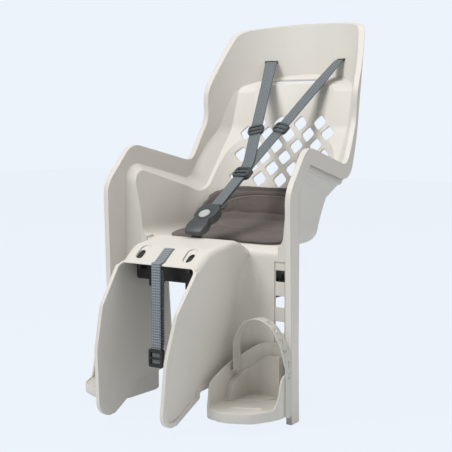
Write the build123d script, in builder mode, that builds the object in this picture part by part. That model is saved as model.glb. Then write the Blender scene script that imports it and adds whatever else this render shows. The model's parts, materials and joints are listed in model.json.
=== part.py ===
"""Child bike seat for a luggage rack: moulded shell, harness, footrests and rack clamp.

Millimetres, +Z up. The child faces -Y, so the child's left is +X. The origin lies on the
face that rests on the rack, under the middle of the seat.
"""

import math
import os

from build123d import *

# Moulded shell
WALL = 4.0
FLARE = 0.096
ARM_LEVEL = 160.0
HEAD_LEVEL = 428.0
HEAD_HALF_WIDTH = 202.0
HEAD_BACK_Y = 325.0
HEAD_LEAN = 0.14
HEAD_BACK_R = 230.0
HEAD_CORNER_R = 170.0
LEG_BOTTOM_Z = -257.0
TOP_LIMIT_Z = 560.0
FRONT_LIMIT_Y = -400.0

# Seat tub inside the shell: half width and corner radius at each level
FLOOR_Z = 61.0
TUB_BACK_Y = 201.0
TUB_BACK_LEVEL = 171.0
TUB_LEAN = 0.347
TUB_BACK_R = 400.0
TUB_FRONT_Y = -150.0
TUB_FLOOR_R = 24.0
TUB_LEVELS = [
    (FLOOR_Z, 165.0, 118.0),
    (130.0, 170.0, 116.0),
    (213.0, 187.0, 96.0),
    (300.0, 198.0, 70.0),
    (350.0, 198.0, 84.0),
    (392.0, 195.0, 130.0),
]

# Step between the flange and the tub, seen from the side
STEP_INSET = 30.0
FLANGE_LEG_Y = -67.0
LEG_WALL_Y = -54.0
ARM_SLOPE = -0.245
WING_SLOPE = 1.407
LEDGE_SLOPE = 0.45
LEDGE_Y = 272.0
LEDGE_Z = 376.0
THIGH_ROLL_R = 20.0

# Rim and its hem
RIM_FRONT_Y = -116.0
RIM_KNEE_Z = 170.5
RIM_LEAN = 0.028
HEM_WIDTH = 12.0
HEM_DEPTH = 30.0
HEM_SKIN = 3.5

# Wheel tunnel and the platform over it
TUNNEL_HALF = 92.5
TUNNEL_LEVEL = 40.0
TUNNEL_LEAN = 0.0703
TUNNEL_FLARE_R = 36.0
FLARE_SINK = 0.4
PLATFORM_EDGE_R = 14.0
PLATFORM_FRONT_Z = 38.0
SLOPE_FOOT_Y = -214.0
SLOPE_TOP_Y = -180.0
SLOPE_TOP_Z = 64.0
PLATFORM_CREST_Y = -95.0
PLATFORM_CREST_Z = 77.0
TUNNEL_BEAD = 4.0
TUNNEL_BEAD_WIDTH = 9.0
LEG_WALL_BOTTOM_Z = -190.0

# Lattice of rounded diamonds in the backrest
DIAMOND = 26.0
DIAMOND_R = 6.0
DIAMOND_PITCH = 51.0
DIAMOND_LEVEL = 232.0
DIAMOND_ROWS = 6

# Webbing
WEB_WIDTH = 25.0
WEB_THICK = 1.6
WEB_CLEAR = 0.4
SHOULDER_SLOT_X = 89.0
SHOULDER_SLOT_Z = 428.0
SLOT_HEIGHT = 6.0
SAFETY_WIDTH = 22.0
SAFETY_SLOT_Y = -182.0
CROTCH_Y = -99.0
CROTCH_UNDER_Z = 68.5

# Harness buckle
BUCKLE_CENTRE = (0.0, -68.0, 112.0)
BUCKLE_DROP = math.radians(33.6)
BUCKLE_WIDTH = 50.0
BUCKLE_LENGTH = 60.0
BUCKLE_THICK = 18.0
BUTTON_R = 12.0
TONGUE_THICK = 3.2
TONGUE_LEVEL = -4.0

BUTTON_SEAT = 1.0
BUTTON_LOW = 4.0
BUTTON_PROUD = 1.4
SPRING_WIRE_R = 0.4
SPRING_R = 5.0

# Sliders on the harness and the ladder lock of the safety strap
SLIDER_RUN = {"left": 212.0, "right": 220.0}
SLIDER_LENGTH = 26.0
LOWER_SLIDER_RUN = 150.0
PLY_SHIFT = 1.2
PLY_END_SHIFT = 2.7
SAFETY_DROP_Y = -224.0
SAFETY_END_Z = -150.0
LOCK_Z = -138.0

# Cushion
PAD_GAP = 0.6
PAD_THICK_BACK = 15.0
PAD_HALF = 138.0
PAD_TOP_Z = 160.0
PAD_SEAT_HALF = 142.0
PAD_FRONT_Y = -34.0

# Footrests
WINDOW_X = 162.5
WINDOW_W = 21.0
WINDOW_H = 22.0
WINDOW_PITCH = 48.5
WINDOW_TOP_Z = 8.0
WINDOW_COUNT = 4
TRACK_X = 163.0
TRACK_WIDTH = 24.0
TRACK_DEPTH = 1.8
TRACK_TOP_Z = 35.0
TRAY_WALL = 3.5
TRAY_IN_X = 94.5
TRAY_LOBE_X = 223.0
TRAY_GAP = 0.5
TRAY_FRONT_Y = -205.0
TRAY_BOTTOM_Z = -236.0
TRAY_FLOOR_Z = -219.0
TRAY_FLOOR_T = 6.0
TRAY_BACK_Z = -117.0
LOBE_TOP_Z = -156.0
CUP_X = 112.0
CUP_HEEL_Y = -73.0
CUP_DEPTH = 2.2
LATCH_SIZE = 18.0
FOOT_STRAP_Y = -115.0
FOOT_STRAP_Z = -168.0
FOOT_STRAP_TURN = math.radians(4.0)
FOOT_STRAP_W = 20.0
FOOT_STRAP_T = 2.2
FOOT_STRAP_END_Z = -238.0

# Carrier block and clamp
BLOCK_HALF = 80.0
BLOCK_FRONT_Y = -186.0
BLOCK_REAR_Y = 96.0
BLOCK_LOW_Z = 38.0
HOOK_X = 58.0
HOOK_Y = -196.0
HOOK_HALF = 4.5
HOOK_DEPTH = 15.0
POCKET_DEPTH = 2.8
FIT = 0.3
RUNNING_FIT = 0.05
RAIL_X = 66.0
RAIL_Z = -6.0
RAIL_R = 6.0
PAD_THICK = 2.0
SPINDLE_Y = 60.0
SPINDLE_Z = -22.0
SPINDLE_R = 5.0
KNOB_X = 107.0
KNOB_R = 26.0
KNOB_WIDTH = 14.0
KNOB_HUB = 8.0
JAW_LENGTH = 60.0
JAW_WALL = 10.0
JAW_BOTTOM_Z = -56.0
BOLT_X = 45.0
BOLT_YS = (-15.0, 25.0)
BOLT_R = 3.0
WASHER_Z = 12.0
WASHER_THICK = 1.5
HEAD_R = 7.0
HEAD_HEIGHT = 2.4

SIDES = (("left", 1), ("right", -1))
FLARE_K = math.hypot(1.0, FLARE)
os.makedirs("parts", exist_ok=True)


def save(piece, name):
    piece.label = name
    export_step(piece, f"parts/{name}.step")


def u_outline(z, half, y_back, r_back, r_corner, y_front):
    """U-shaped plan: flared sides, rounded rear corners and an arc across the back."""
    y_arc = y_back - r_back
    b = half * FLARE + y_arc
    c = half**2 + y_arc**2 - r_back**2
    y_corner = (b + math.sqrt(b * b - FLARE_K**2 * c)) / FLARE_K**2
    x_corner = half - FLARE * y_corner
    x_front = half - FLARE * y_front
    with BuildSketch(Plane.XY.offset(z)) as plan:
        with BuildLine():
            Polyline((-x_corner, y_corner), (-x_front, y_front), (x_front, y_front), (x_corner, y_corner))
            ThreePointArc((x_corner, y_corner), (0, y_back), (-x_corner, y_corner))
        make_face()
        fillet(plan.vertices().group_by(Axis.Y)[-1], r_corner)
    return plan.sketch


def head_space(grow):
    """Space inside the flange: upright beside the legs, leaning back above the arms."""
    shift = HEAD_LEAN * (HEAD_LEVEL - ARM_LEVEL)
    half = HEAD_HALF_WIDTH - FLARE * shift + grow * FLARE_K
    plan = u_outline(
        ARM_LEVEL, half, HEAD_BACK_Y - shift + grow, HEAD_BACK_R + grow, HEAD_CORNER_R + grow, FRONT_LIMIT_Y
    )
    with BuildPart() as space:
        extrude(plan, amount=(TOP_LIMIT_Z - ARM_LEVEL) * math.hypot(1, HEAD_LEAN), dir=(0, HEAD_LEAN, 1))
        extrude(plan, amount=ARM_LEVEL - LEG_BOTTOM_Z, dir=(0, 0, -1))
    return space.part


def tub_space(grow):
    """Space the child sits in, from the seat floor to the helmet ledge."""
    sections = []
    for level, half, corner in TUB_LEVELS:
        z = level - grow if level == FLOOR_Z else level
        y_back = TUB_BACK_Y + TUB_LEAN * (z - TUB_BACK_LEVEL) + grow
        sections.append(
            u_outline(z, half + grow * FLARE_K, y_back, TUB_BACK_R + grow, corner + grow, TUB_FRONT_Y)
        )
    with BuildPart() as space:
        loft(sections)
        foot = space.faces().sort_by(Axis.Z)[0].edges().sort_by(Axis.Y)[1:]
        fillet(foot, TUB_FLOOR_R + grow)
    return space.part


def flange_plane(side, inset):
    """Upright plane parallel to one flange: local X rearward, local Y up."""
    outward = Vector(side, FLARE, 0).normalized()
    rearward = Vector(-side * FLARE, 1, 0).normalized()
    half = HEAD_HALF_WIDTH - FLARE * HEAD_LEAN * (HEAD_LEVEL - ARM_LEVEL)
    return Plane(origin=Vector(side * half, 0, 0) - outward * inset, x_dir=rearward, z_dir=outward)


def step_outline(side, inset, grow, leg_y, arm_z, wing_y, shoulder_y, r_hump, r_elbow):
    """Side view of all that lies above the step line: leg, arm hump, elbow, wing, ledge."""
    plane = flange_plane(side, inset)
    up = 1 if plane.y_dir.Z > 0 else -1
    leg = leg_y + grow
    arm = arm_z - grow
    wing = wing_y + grow
    shoulder = shoulder_y + grow
    ledge = LEDGE_Z - LEDGE_SLOPE * LEDGE_Y - grow
    elbow_y = (arm - 195 + WING_SLOPE * wing) / (WING_SLOPE - ARM_SLOPE)
    shoulder_z = 195 + WING_SLOPE * (shoulder - wing)
    corner_y = (shoulder + 0.29 * (ledge - shoulder_z)) / (1 - 0.29 * LEDGE_SLOPE)
    corners = [
        (leg, -420),
        (leg, arm + ARM_SLOPE * leg),
        (elbow_y, arm + ARM_SLOPE * elbow_y),
        (shoulder, shoulder_z),
        (corner_y, ledge + LEDGE_SLOPE * corner_y),
        (520, ledge + LEDGE_SLOPE * 520),
    ]
    points = [(y, up * z) for y, z in corners]
    with BuildSketch(plane) as outline:
        with BuildLine():
            FilletPolyline(*points, radius=[r_hump - grow, r_elbow + grow, 60, 25])
            Polyline(points[-1], (520, up * 720), (-460, up * 720), (-460, up * -420), points[0])
        make_face()
    return outline.sketch


def arm_space(side, grow):
    """Space above one arm and in front of one leg, with the sloping step down to the tub."""
    at_flange = step_outline(side, 0, grow, FLANGE_LEG_Y, 203.2, 141, 200, 34, 22)
    at_tub = step_outline(side, STEP_INSET, grow, LEG_WALL_Y, 175.2, 175, 234, 24, 40)
    with BuildPart() as space:
        extrude(at_flange, amount=60)
        loft([at_tub, at_flange])
        extrude(at_tub, amount=230, dir=(-side, 0, 0))
    return space.part


def tunnel_half(z, shrink):
    return TUNNEL_HALF + TUNNEL_LEAN * (z - TUNNEL_LEVEL) - shrink


def tunnel_block(shrink):
    """Body of the wheel tunnel with the rounded platform on top and flared rear corners."""
    front = 345.0
    low, high = -330.0, 130.0
    with BuildPart() as block:
        with BuildSketch(Plane.XZ.offset(front)):
            with BuildLine():
                Polyline(
                    (-tunnel_half(low, shrink), low),
                    (-tunnel_half(high, shrink), high),
                    (tunnel_half(high, shrink), high),
                    (tunnel_half(low, shrink), low),
                    close=True,
                )
            make_face()
        extrude(amount=-front - 30)
        crest = PLATFORM_CREST_Z - shrink
        lip = PLATFORM_FRONT_Z - shrink
        rear = FLOOR_Z - 10 - shrink
        profile = [(-front, lip), (SLOPE_FOOT_Y, lip), (SLOPE_TOP_Y, SLOPE_TOP_Z - shrink), (PLATFORM_CREST_Y, crest)]
        profile += [(-40, rear), (40, rear)]
        with BuildSketch(Plane.YZ):
            with BuildLine():
                FilletPolyline(*profile, radius=[10 + shrink, 40 - shrink, 60 - shrink, 60 + shrink])
                Polyline((40, rear), (40, low), (-front, low), (-front, lip))
            make_face()
        extrude(amount=200, both=True, mode=Mode.INTERSECT)
        shoulders = block.edges().filter_by(
            lambda edge: edge.bounding_box().min.Z > lip - 8
            and abs(edge.center().X) > 60
            and edge.bounding_box().size.Y > 0.5
        )
        fillet(shoulders, PLATFORM_EDGE_R - shrink)
        for side in (1, -1):
            sections = []
            roll_z = FLOOR_Z - THIGH_ROLL_R - shrink
            for z, radius in ((low, TUNNEL_FLARE_R), (roll_z - 40, TUNNEL_FLARE_R), (roll_z, 8)):
                r = radius + shrink
                x = tunnel_half(z, shrink)
                y = leg_face_y + FLARE_SINK + shrink
                with BuildSketch(Plane.XY.offset(z)) as corner:
                    with BuildLine():
                        Polyline(
                            (side * (x + r), y),
                            (side * (x + r), y + 6),
                            (side * (x - 8), y + 6),
                            (side * (x - 8), y - r),
                            (side * x, y - r),
                        )
                        RadiusArc((side * x, y - r), (side * (x + r), y), side * r)
                    make_face()
                sections.append(corner.sketch)
            loft(sections, ruled=True)
    return block.part


def thigh_roll(grow):
    """Rounding where the seat floor turns down into the leg walls."""
    y = leg_face_y + THIGH_ROLL_R
    z = FLOOR_Z - THIGH_ROLL_R
    r = THIGH_ROLL_R - grow
    with BuildPart() as roll:
        with BuildSketch(Plane.YZ):
            with BuildLine():
                Polyline((y, z + r), (y, z + r + 6), (y - r - 6, z + r + 6), (y - r - 6, z), (y - r, z))
                RadiusArc((y - r, z), (y, z + r), r)
            make_face()
        extrude(amount=158, both=True)
    return roll.part


def child_space(grow):
    """All the space on the child's side of the shell."""
    with BuildPart() as space:
        add(arm_space(1, grow))
        add(arm_space(-1, grow))
        add(head_space(grow), mode=Mode.INTERSECT)
        add(tub_space(grow))
        add(thigh_roll(grow))
        add(tunnel_block(grow), mode=Mode.SUBTRACT)
    return space.part


def rim_outline():
    """Side view of the shell's rim, open to the rear."""
    rear = 460
    points = [
        (rear, 494 + 0.218 * (rear - 262)),
        (268, 495.3),
        (187, 360),
        (189, 303),
        (137.5, 209.5),
        (-45.9, 252.5),
        (RIM_FRONT_Y, RIM_KNEE_Z),
        (RIM_FRONT_Y + RIM_LEAN * (RIM_KNEE_Z + 330), -330),
    ]
    with BuildSketch(Plane.YZ) as outline:
        with BuildLine():
            FilletPolyline(*points, radius=[50, 80, 80, 28, 40, 60])
            Polyline(points[-1], (rear, -330), points[0])
        make_face()
    return outline.sketch


def tunnel_outline():
    """Side view of the tunnel walls, with the notch in their lower edge."""
    points = [
        (-60, 150),
        (-213, 46),
        (-277, -40),
        (-300, -120),
        (-305, -247),
        (-262, -243),
        (-197, -208),
        (-197, -196),
        (-112, LEG_WALL_BOTTOM_Z + 2),
        (-60, LEG_WALL_BOTTOM_Z + 2),
    ]
    with BuildSketch(Plane.YZ) as outline:
        with BuildLine():
            FilletPolyline(*points, radius=[3, 26, 60, 28, 8, 2, 4, 40])
            Line(points[-1], points[0])
        make_face()
    return outline.sketch


def rim_band(depth):
    """Strip of the given depth along the rim, right across the shell."""
    outline = rim_outline()
    with BuildPart() as band:
        extrude(outline, amount=300, both=True)
        extrude(offset(outline, amount=-depth, mode=Mode.PRIVATE), amount=300, both=True, mode=Mode.SUBTRACT)
    return band.part


def hem(outer, inner, depth):
    """Part of the hem that lies between two offsets of the flange, along the rim."""
    with BuildPart() as strip:
        add(head_space(outer))
        add(head_space(inner), mode=Mode.SUBTRACT)
        add(rim_band(depth), mode=Mode.INTERSECT)
    return strip.part


def tunnel_bead():
    """Thickened edge along the front and foot of the tunnel walls."""
    outline = tunnel_outline()
    with BuildPart() as band:
        extrude(outline, amount=120, both=True)
        extrude(
            offset(outline, amount=-TUNNEL_BEAD_WIDTH, mode=Mode.PRIVATE), amount=120, both=True, mode=Mode.SUBTRACT
        )
        with Locations((0, -215, -120)):
            Box(300, 200, 300, mode=Mode.INTERSECT)
    with BuildPart() as bead:
        add(tunnel_block(-TUNNEL_BEAD))
        add(band.part, mode=Mode.INTERSECT)
        add(tunnel_block(WALL / 2), mode=Mode.SUBTRACT)
    return bead.part


def step_corner(inset, leg_y):
    """Plan position of the left step's edge at a given inset from the flange."""
    plane = flange_plane(1, inset)
    corner = plane.origin + plane.x_dir * leg_y
    return corner.X, corner.Y


leg_face_y = step_corner(STEP_INSET, LEG_WALL_Y)[1]
shoulder_angle = math.degrees(math.asin(SHOULDER_SLOT_X / HEAD_BACK_R))
shoulder_slot_y = HEAD_BACK_Y - HEAD_BACK_R + math.sqrt(HEAD_BACK_R**2 - SHOULDER_SLOT_X**2)
window_levels = [WINDOW_TOP_Z - WINDOW_PITCH * i for i in range(WINDOW_COUNT)]
diamond_y = TUB_BACK_Y + TUB_LEAN * (DIAMOND_LEVEL - TUB_BACK_LEVEL)
slope_rise = (SLOPE_TOP_Z - PLATFORM_FRONT_Z) / (SLOPE_TOP_Y - SLOPE_FOOT_Y)
slope_plane = Plane(
    origin=(0, HOOK_Y, PLATFORM_FRONT_Z + slope_rise * (HOOK_Y - SLOPE_FOOT_Y)),
    x_dir=(1, 0, 0),
    z_dir=Vector(0, -slope_rise, 1).normalized(),
)
back_plane = Plane(
    origin=(0, diamond_y, DIAMOND_LEVEL), x_dir=(1, 0, 0), z_dir=Vector(0, -1, TUB_LEAN).normalized()
)

with BuildPart() as kept:
    extrude(rim_outline(), amount=300, both=True)
    with Locations((0, RIM_FRONT_Y + 108, LEG_WALL_BOTTOM_Z - 70)):
        Box(380, 218, 140, mode=Mode.SUBTRACT)
    extrude(tunnel_outline(), amount=118, both=True)

with BuildPart() as seat_shell:
    add(child_space(WALL))
    add(child_space(0), mode=Mode.SUBTRACT)
    add(kept.part, mode=Mode.INTERSECT)
    add(hem(HEM_WIDTH, 1, HEM_SKIN))
    add(hem(HEM_WIDTH, HEM_WIDTH - HEM_SKIN, HEM_DEPTH))
    add(tunnel_bead())
    # Diamonds of the backrest, rows offset by half a pitch
    with BuildSketch(back_plane):
        for row in range(DIAMOND_ROWS):
            count = 4 if row % 2 == 0 else 5
            height = (2.5 - row) * DIAMOND_PITCH / 2
            with Locations((0, height)):
                with GridLocations(DIAMOND_PITCH, 1, count, 1):
                    RectangleRounded(DIAMOND, DIAMOND, DIAMOND_R, rotation=45)
    extrude(amount=40, both=True, mode=Mode.SUBTRACT)
    # Long drain slot in the helmet ledge
    with BuildSketch(Plane.XY.offset(LEDGE_Z - 30)):
        with Locations((0, LEDGE_Y + 16)):
            SlotOverall(208, 6)
            SlotOverall(132, 16)
    extrude(amount=90, mode=Mode.SUBTRACT)
    # Slots for the shoulder straps
    for side in (1, -1):
        with Locations(
            Location((side * SHOULDER_SLOT_X, shoulder_slot_y, SHOULDER_SLOT_Z), (0, 0, -side * shoulder_angle))
        ):
            Box(WEB_WIDTH + 5, 24, SLOT_HEIGHT, mode=Mode.SUBTRACT)
    # Platform: slots for the safety strap and the crotch strap, recesses for the block's hooks
    with BuildSketch(Plane.XY.offset(30)):
        with Locations((0, SAFETY_SLOT_Y)):
            Rectangle(SAFETY_WIDTH + 2, WEB_THICK + 2)
        with Locations((0, CROTCH_Y)):
            Rectangle(WEB_WIDTH + 2 * WEB_CLEAR, WEB_THICK + 2 * WEB_CLEAR)
        for side in (1, -1):
            with Locations((side * HOOK_X, HOOK_Y)):
                SlotOverall(HOOK_DEPTH + 4, 2 * HOOK_HALF + 4, rotation=90)
    extrude(amount=70, mode=Mode.SUBTRACT)
    with BuildSketch(slope_plane.offset(-POCKET_DEPTH)):
        for side in (1, -1):
            with Locations((side * (HOOK_X - 3), 4)):
                SlotOverall(38, 2 * HOOK_HALF + 13, rotation=90)
    extrude(amount=30, mode=Mode.SUBTRACT)
    # Footrest track: windows in the leg walls and a shallow runway round them
    with BuildSketch(Plane.XZ.offset(-LEG_WALL_Y - 8)):
        for side in (1, -1):
            for level in window_levels:
                with Locations((side * WINDOW_X, level)):
                    RectangleRounded(WINDOW_W, WINDOW_H, 2)
    extrude(amount=24, both=True, mode=Mode.SUBTRACT)
    with Locations(*[(side * TRACK_X, leg_face_y + TRACK_DEPTH / 2, TRACK_TOP_Z - 150) for side in (1, -1)]):
        Box(TRACK_WIDTH, TRACK_DEPTH, 300, mode=Mode.SUBTRACT)
    # Holes for the block's bolts
    with BuildSketch(Plane.XY.offset(FLOOR_Z - 10)):
        with Locations(*[(side * BOLT_X, y) for side in (1, -1) for y in BOLT_YS]):
            Circle(BOLT_R + FIT)
    extrude(amount=20, mode=Mode.SUBTRACT)
save(seat_shell.part, "seat_shell")


def mirrored(piece):
    return mirror(piece, about=Plane.YZ)


# Cushion: one pad over the seat floor and the foot of the backrest
with BuildPart() as seat_cushion:
    add(tub_space(-PAD_GAP))
    add(tub_space(-PAD_GAP - PAD_THICK_BACK), mode=Mode.SUBTRACT)
    with BuildSketch(Plane.XZ.offset(-300)):
        with BuildLine():
            FilletPolyline(
                (-PAD_SEAT_HALF, 40),
                (-PAD_SEAT_HALF, 84),
                (-PAD_HALF, 100),
                (-PAD_HALF + 5, PAD_TOP_Z),
                (PAD_HALF - 5, PAD_TOP_Z),
                (PAD_HALF, 100),
                (PAD_SEAT_HALF, 84),
                (PAD_SEAT_HALF, 40),
                radius=[10, 12, 30, 30, 12, 10],
            )
            Line((PAD_SEAT_HALF, 40), (-PAD_SEAT_HALF, 40))
        make_face()
    extrude(amount=600, mode=Mode.INTERSECT)
    with BuildSketch(Plane.XY.offset(0)):
        with Locations((0, PAD_FRONT_Y + 200)):
            RectangleRounded(2 * PAD_SEAT_HALF, 400, 40)
    extrude(amount=400, mode=Mode.INTERSECT)
    add(tunnel_block(-PAD_GAP), mode=Mode.SUBTRACT)
    with BuildSketch(Plane.XY.offset(FLOOR_Z)):
        with Locations(*[(side * BOLT_X, y) for side in (1, -1) for y in BOLT_YS]):
            Circle(9)
    extrude(amount=3.2, mode=Mode.SUBTRACT)
save(seat_cushion.part, "seat_cushion")

# Directions of the harness
drop = Vector(0, -math.cos(BUCKLE_DROP), -math.sin(BUCKLE_DROP))
face_up = Vector(0, -math.sin(BUCKLE_DROP), math.cos(BUCKLE_DROP))
buckle_centre = Vector(*BUCKLE_CENTRE)
buckle_plane = Plane(origin=buckle_centre, x_dir=(1, 0, 0), z_dir=face_up)
strap_line = buckle_centre + face_up * TONGUE_LEVEL
lower_slider_at = strap_line - drop * LOWER_SLIDER_RUN
merge = lower_slider_at - drop * 24
strap_end = strap_line - drop * 41


def web_section(origin, along, across, shift=0.0):
    """Cross section of a strap, moved off its path along the strap's own normal."""
    across = (across - along * across.dot(along)).normalized()
    normal = along.cross(across).normalized()
    plane = Plane(origin=origin + normal * shift, x_dir=across, z_dir=along)
    with BuildSketch(plane) as section:
        Rectangle(WEB_WIDTH, WEB_THICK)
    return section.sketch


def shoulder_frame(side):
    """Points and directions of one shoulder strap above the merge."""
    out = Vector(side * math.sin(math.radians(shoulder_angle)), math.cos(math.radians(shoulder_angle)), 0)
    slot = Vector(side * SHOULDER_SLOT_X, shoulder_slot_y, SHOULDER_SLOT_Z)
    mouth = slot - out * 7
    run = (merge - mouth).normalized()
    return out, slot, mouth, run


for name, side in SIDES:
    out, slot, mouth, run = shoulder_frame(side)
    tangent = Vector(out.Y, -out.X, 0)
    bend = (run - out).normalized()
    final = (drop + run).normalized()
    wide = Vector(1, 0, 0)
    ply = -side
    reach = (merge - mouth).length
    with BuildPart() as shoulder_strap:
        loft(
            [
                web_section(slot + out * 12, -out, tangent),
                web_section(mouth, bend, tangent),
                web_section(mouth + run * 70, run, wide),
                web_section(mouth + run * (reach - 55), run, wide, ply * PLY_SHIFT),
                web_section(merge, final, wide, ply * PLY_SHIFT),
                web_section(strap_end, drop, wide, ply * PLY_END_SHIFT),
            ],
            ruled=True,
        )
    save(shoulder_strap.part, f"shoulder_strap_{name}")

    with BuildPart() as retainer:
        rear = slot + out * (WALL + FIT + 2)
        wall_normal = Vector(0, HEAD_LEAN, 1).cross(tangent).normalized()
        with BuildSketch(Plane(origin=rear, x_dir=tangent, z_dir=wall_normal)):
            RectangleRounded(WEB_WIDTH + 21, 20, 5)
            Rectangle(WEB_WIDTH + 2 * WEB_CLEAR, WEB_THICK + 4 * WEB_CLEAR, mode=Mode.SUBTRACT)
        extrude(amount=2, both=True)
        fillet(retainer.faces().sort_by(Axis.Y)[-1].outer_wire().edges(), 1)
    save(retainer.part, f"strap_retainer_{name}")

    across = (wide - run * wide.dot(run)).normalized()
    slider_shift = ply * PLY_SHIFT * (SLIDER_RUN[name] - 70) / (reach - 125)
    normal = run.cross(across)
    slider_plane = Plane(
        origin=mouth + run * SLIDER_RUN[name] + normal * slider_shift, x_dir=across, z_dir=normal
    )
    with BuildPart() as slider:
        with BuildSketch(slider_plane):
            RectangleRounded(WEB_WIDTH + 10, SLIDER_LENGTH, 8)
        extrude(amount=3.4, both=True)
        with BuildSketch(slider_plane):
            with GridLocations(1, 10.5, 1, 2):
                Rectangle(WEB_WIDTH + 2 * WEB_CLEAR, 6)
        extrude(amount=8, both=True, mode=Mode.SUBTRACT)
        with BuildSketch(slider_plane):
            Rectangle(WEB_WIDTH + 2 * WEB_CLEAR, SLIDER_LENGTH + 2)
        extrude(amount=WEB_THICK / 2 + WEB_CLEAR, both=True, mode=Mode.SUBTRACT)
    save(slider.part, f"slider_{name}")

# Lower slider that gathers both straps
lower_plane = Plane(origin=lower_slider_at, x_dir=(1, 0, 0), z_dir=face_up)
with BuildPart() as slider_lower:
    with BuildSketch(lower_plane):
        RectangleRounded(WEB_WIDTH + 12, 30, 7)
    extrude(amount=5.6, both=True)
    with BuildSketch(lower_plane):
        with GridLocations(1, 12, 1, 2):
            Rectangle(WEB_WIDTH + 2 * WEB_CLEAR, 7)
    extrude(amount=8, both=True, mode=Mode.SUBTRACT)
    with BuildSketch(lower_plane):
        Rectangle(WEB_WIDTH + 2 * WEB_CLEAR, 40)
    extrude(amount=3.5, both=True, mode=Mode.SUBTRACT)
save(slider_lower.part, "slider_lower")

# Buckle: body, push button with its spring, and the tongue that plugs in from above
with BuildPart() as buckle_body:
    with BuildSketch(buckle_plane):
        with BuildLine():
            half = BUCKLE_WIDTH / 2
            top = BUCKLE_LENGTH / 2
            right = [(half - 7, top), (half, 14), (half - 1, -4), (half - 8, -14), (half - 2, -top)]
            left = [(-x, y) for x, y in reversed(right)]
            FilletPolyline(*right, *left, right[0], radius=[9, 9, 8, 6, 4, 4, 6, 8, 9, 9], close=True)
        make_face()
    extrude(amount=BUCKLE_THICK / 2, both=True)
    fillet(buckle_body.faces().filter_by(buckle_plane).edges(), 2)
    with BuildSketch(buckle_plane.offset(BUTTON_SEAT)):
        Circle(BUTTON_R)
    extrude(amount=BUCKLE_THICK, mode=Mode.SUBTRACT)
    with BuildSketch(buckle_plane.offset(BUCKLE_THICK / 2 - 0.8)):
        Circle(BUTTON_R + 4)
        Circle(BUTTON_R + 2.8, mode=Mode.SUBTRACT)
    extrude(amount=2, mode=Mode.SUBTRACT)
    with BuildSketch(buckle_plane.offset(TONGUE_LEVEL)):
        with Locations((0, BUCKLE_LENGTH / 2)):
            Rectangle(32 + 2 * FIT, 44)
    extrude(amount=TONGUE_THICK / 2 + FIT, both=True, mode=Mode.SUBTRACT)
    with BuildSketch(buckle_plane):
        with Locations((0, -BUCKLE_LENGTH / 2)):
            Rectangle(WEB_WIDTH + 2 * WEB_CLEAR, 20)
    extrude(amount=WEB_THICK / 2 + WEB_CLEAR, both=True, mode=Mode.SUBTRACT)
save(buckle_body.part, "buckle_body")

with BuildPart() as buckle_button:
    with BuildSketch(buckle_plane.offset(BUTTON_LOW)):
        Circle(BUTTON_R - FIT)
    extrude(amount=BUCKLE_THICK / 2 + BUTTON_PROUD - BUTTON_LOW)
    fillet(buckle_button.edges().filter_by(GeomType.CIRCLE).sort_by(Axis.Z)[-1], 1.2)
save(buckle_button.part, "buckle_button")

spring_height = BUTTON_LOW - BUTTON_SEAT - 2 * SPRING_WIRE_R - 0.2
with BuildPart() as button_spring:
    with BuildLine():
        coil = Helix(pitch=spring_height / 2, height=spring_height, radius=SPRING_R)
    with BuildSketch(Plane(origin=coil @ 0, z_dir=coil % 0)):
        Circle(SPRING_WIRE_R)
    sweep(is_frenet=True)
spring_seat = buckle_plane.offset(BUTTON_SEAT + SPRING_WIRE_R + 0.1)
save(spring_seat.from_local_coords(button_spring.part), "button_spring")

with BuildPart() as buckle_tongue:
    tongue_plane = buckle_plane.offset(TONGUE_LEVEL)
    with BuildSketch(tongue_plane):
        with Locations((0, 21)):
            RectangleRounded(32, 24, 3)
        with Locations((0, 40.5)):
            RectangleRounded(42, 19, 5)
        with Locations((0, 38.5)):
            Rectangle(WEB_WIDTH + 3, 7, mode=Mode.SUBTRACT)
    extrude(amount=TONGUE_THICK / 2, both=True)
save(buckle_tongue.part, "buckle_tongue")


def strap_in_side_view(points, radii, width, x=0.0):
    """Flat strap that follows a path in the side view."""
    with BuildPart() as strap:
        with BuildSketch(Plane.YZ.offset(x)):
            with BuildLine():
                FilletPolyline(*points, radius=radii)
            trace(line_width=WEB_THICK)
        extrude(amount=width / 2, both=True)
    return strap.part


# Crotch strap from the buckle through the platform to a retainer below it
into_buckle = buckle_centre + drop * 22
out_of_buckle = buckle_centre + drop * 36
crotch_path = [
    (into_buckle.Y, into_buckle.Z),
    (out_of_buckle.Y, out_of_buckle.Z),
    (CROTCH_Y, out_of_buckle.Z - 6),
    (CROTCH_Y, CROTCH_UNDER_Z - 9),
]
save(strap_in_side_view(crotch_path, [4, 3], WEB_WIDTH), "crotch_strap")

with BuildPart() as crotch_retainer:
    with BuildSketch(Plane.XY.offset(CROTCH_UNDER_Z)):
        with Locations((0, CROTCH_Y)):
            RectangleRounded(46, 12, 4)
            Rectangle(WEB_WIDTH + 2 * WEB_CLEAR, WEB_THICK + 2 * WEB_CLEAR, mode=Mode.SUBTRACT)
    extrude(amount=-4)
save(crotch_retainer.part, "crotch_strap_retainer")

# Safety strap over the platform's front edge, with a ladder lock on its end
safety_path = [
    (SAFETY_SLOT_Y, 44),
    (SAFETY_SLOT_Y, 64.4),
    (-209.5, 43.4),
    (-215, 39.6),
    (SAFETY_DROP_Y, 39.6),
    (SAFETY_DROP_Y, SAFETY_END_Z),
]
save(strap_in_side_view(safety_path, [2, 6, 5, 3], SAFETY_WIDTH), "safety_strap")

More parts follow.
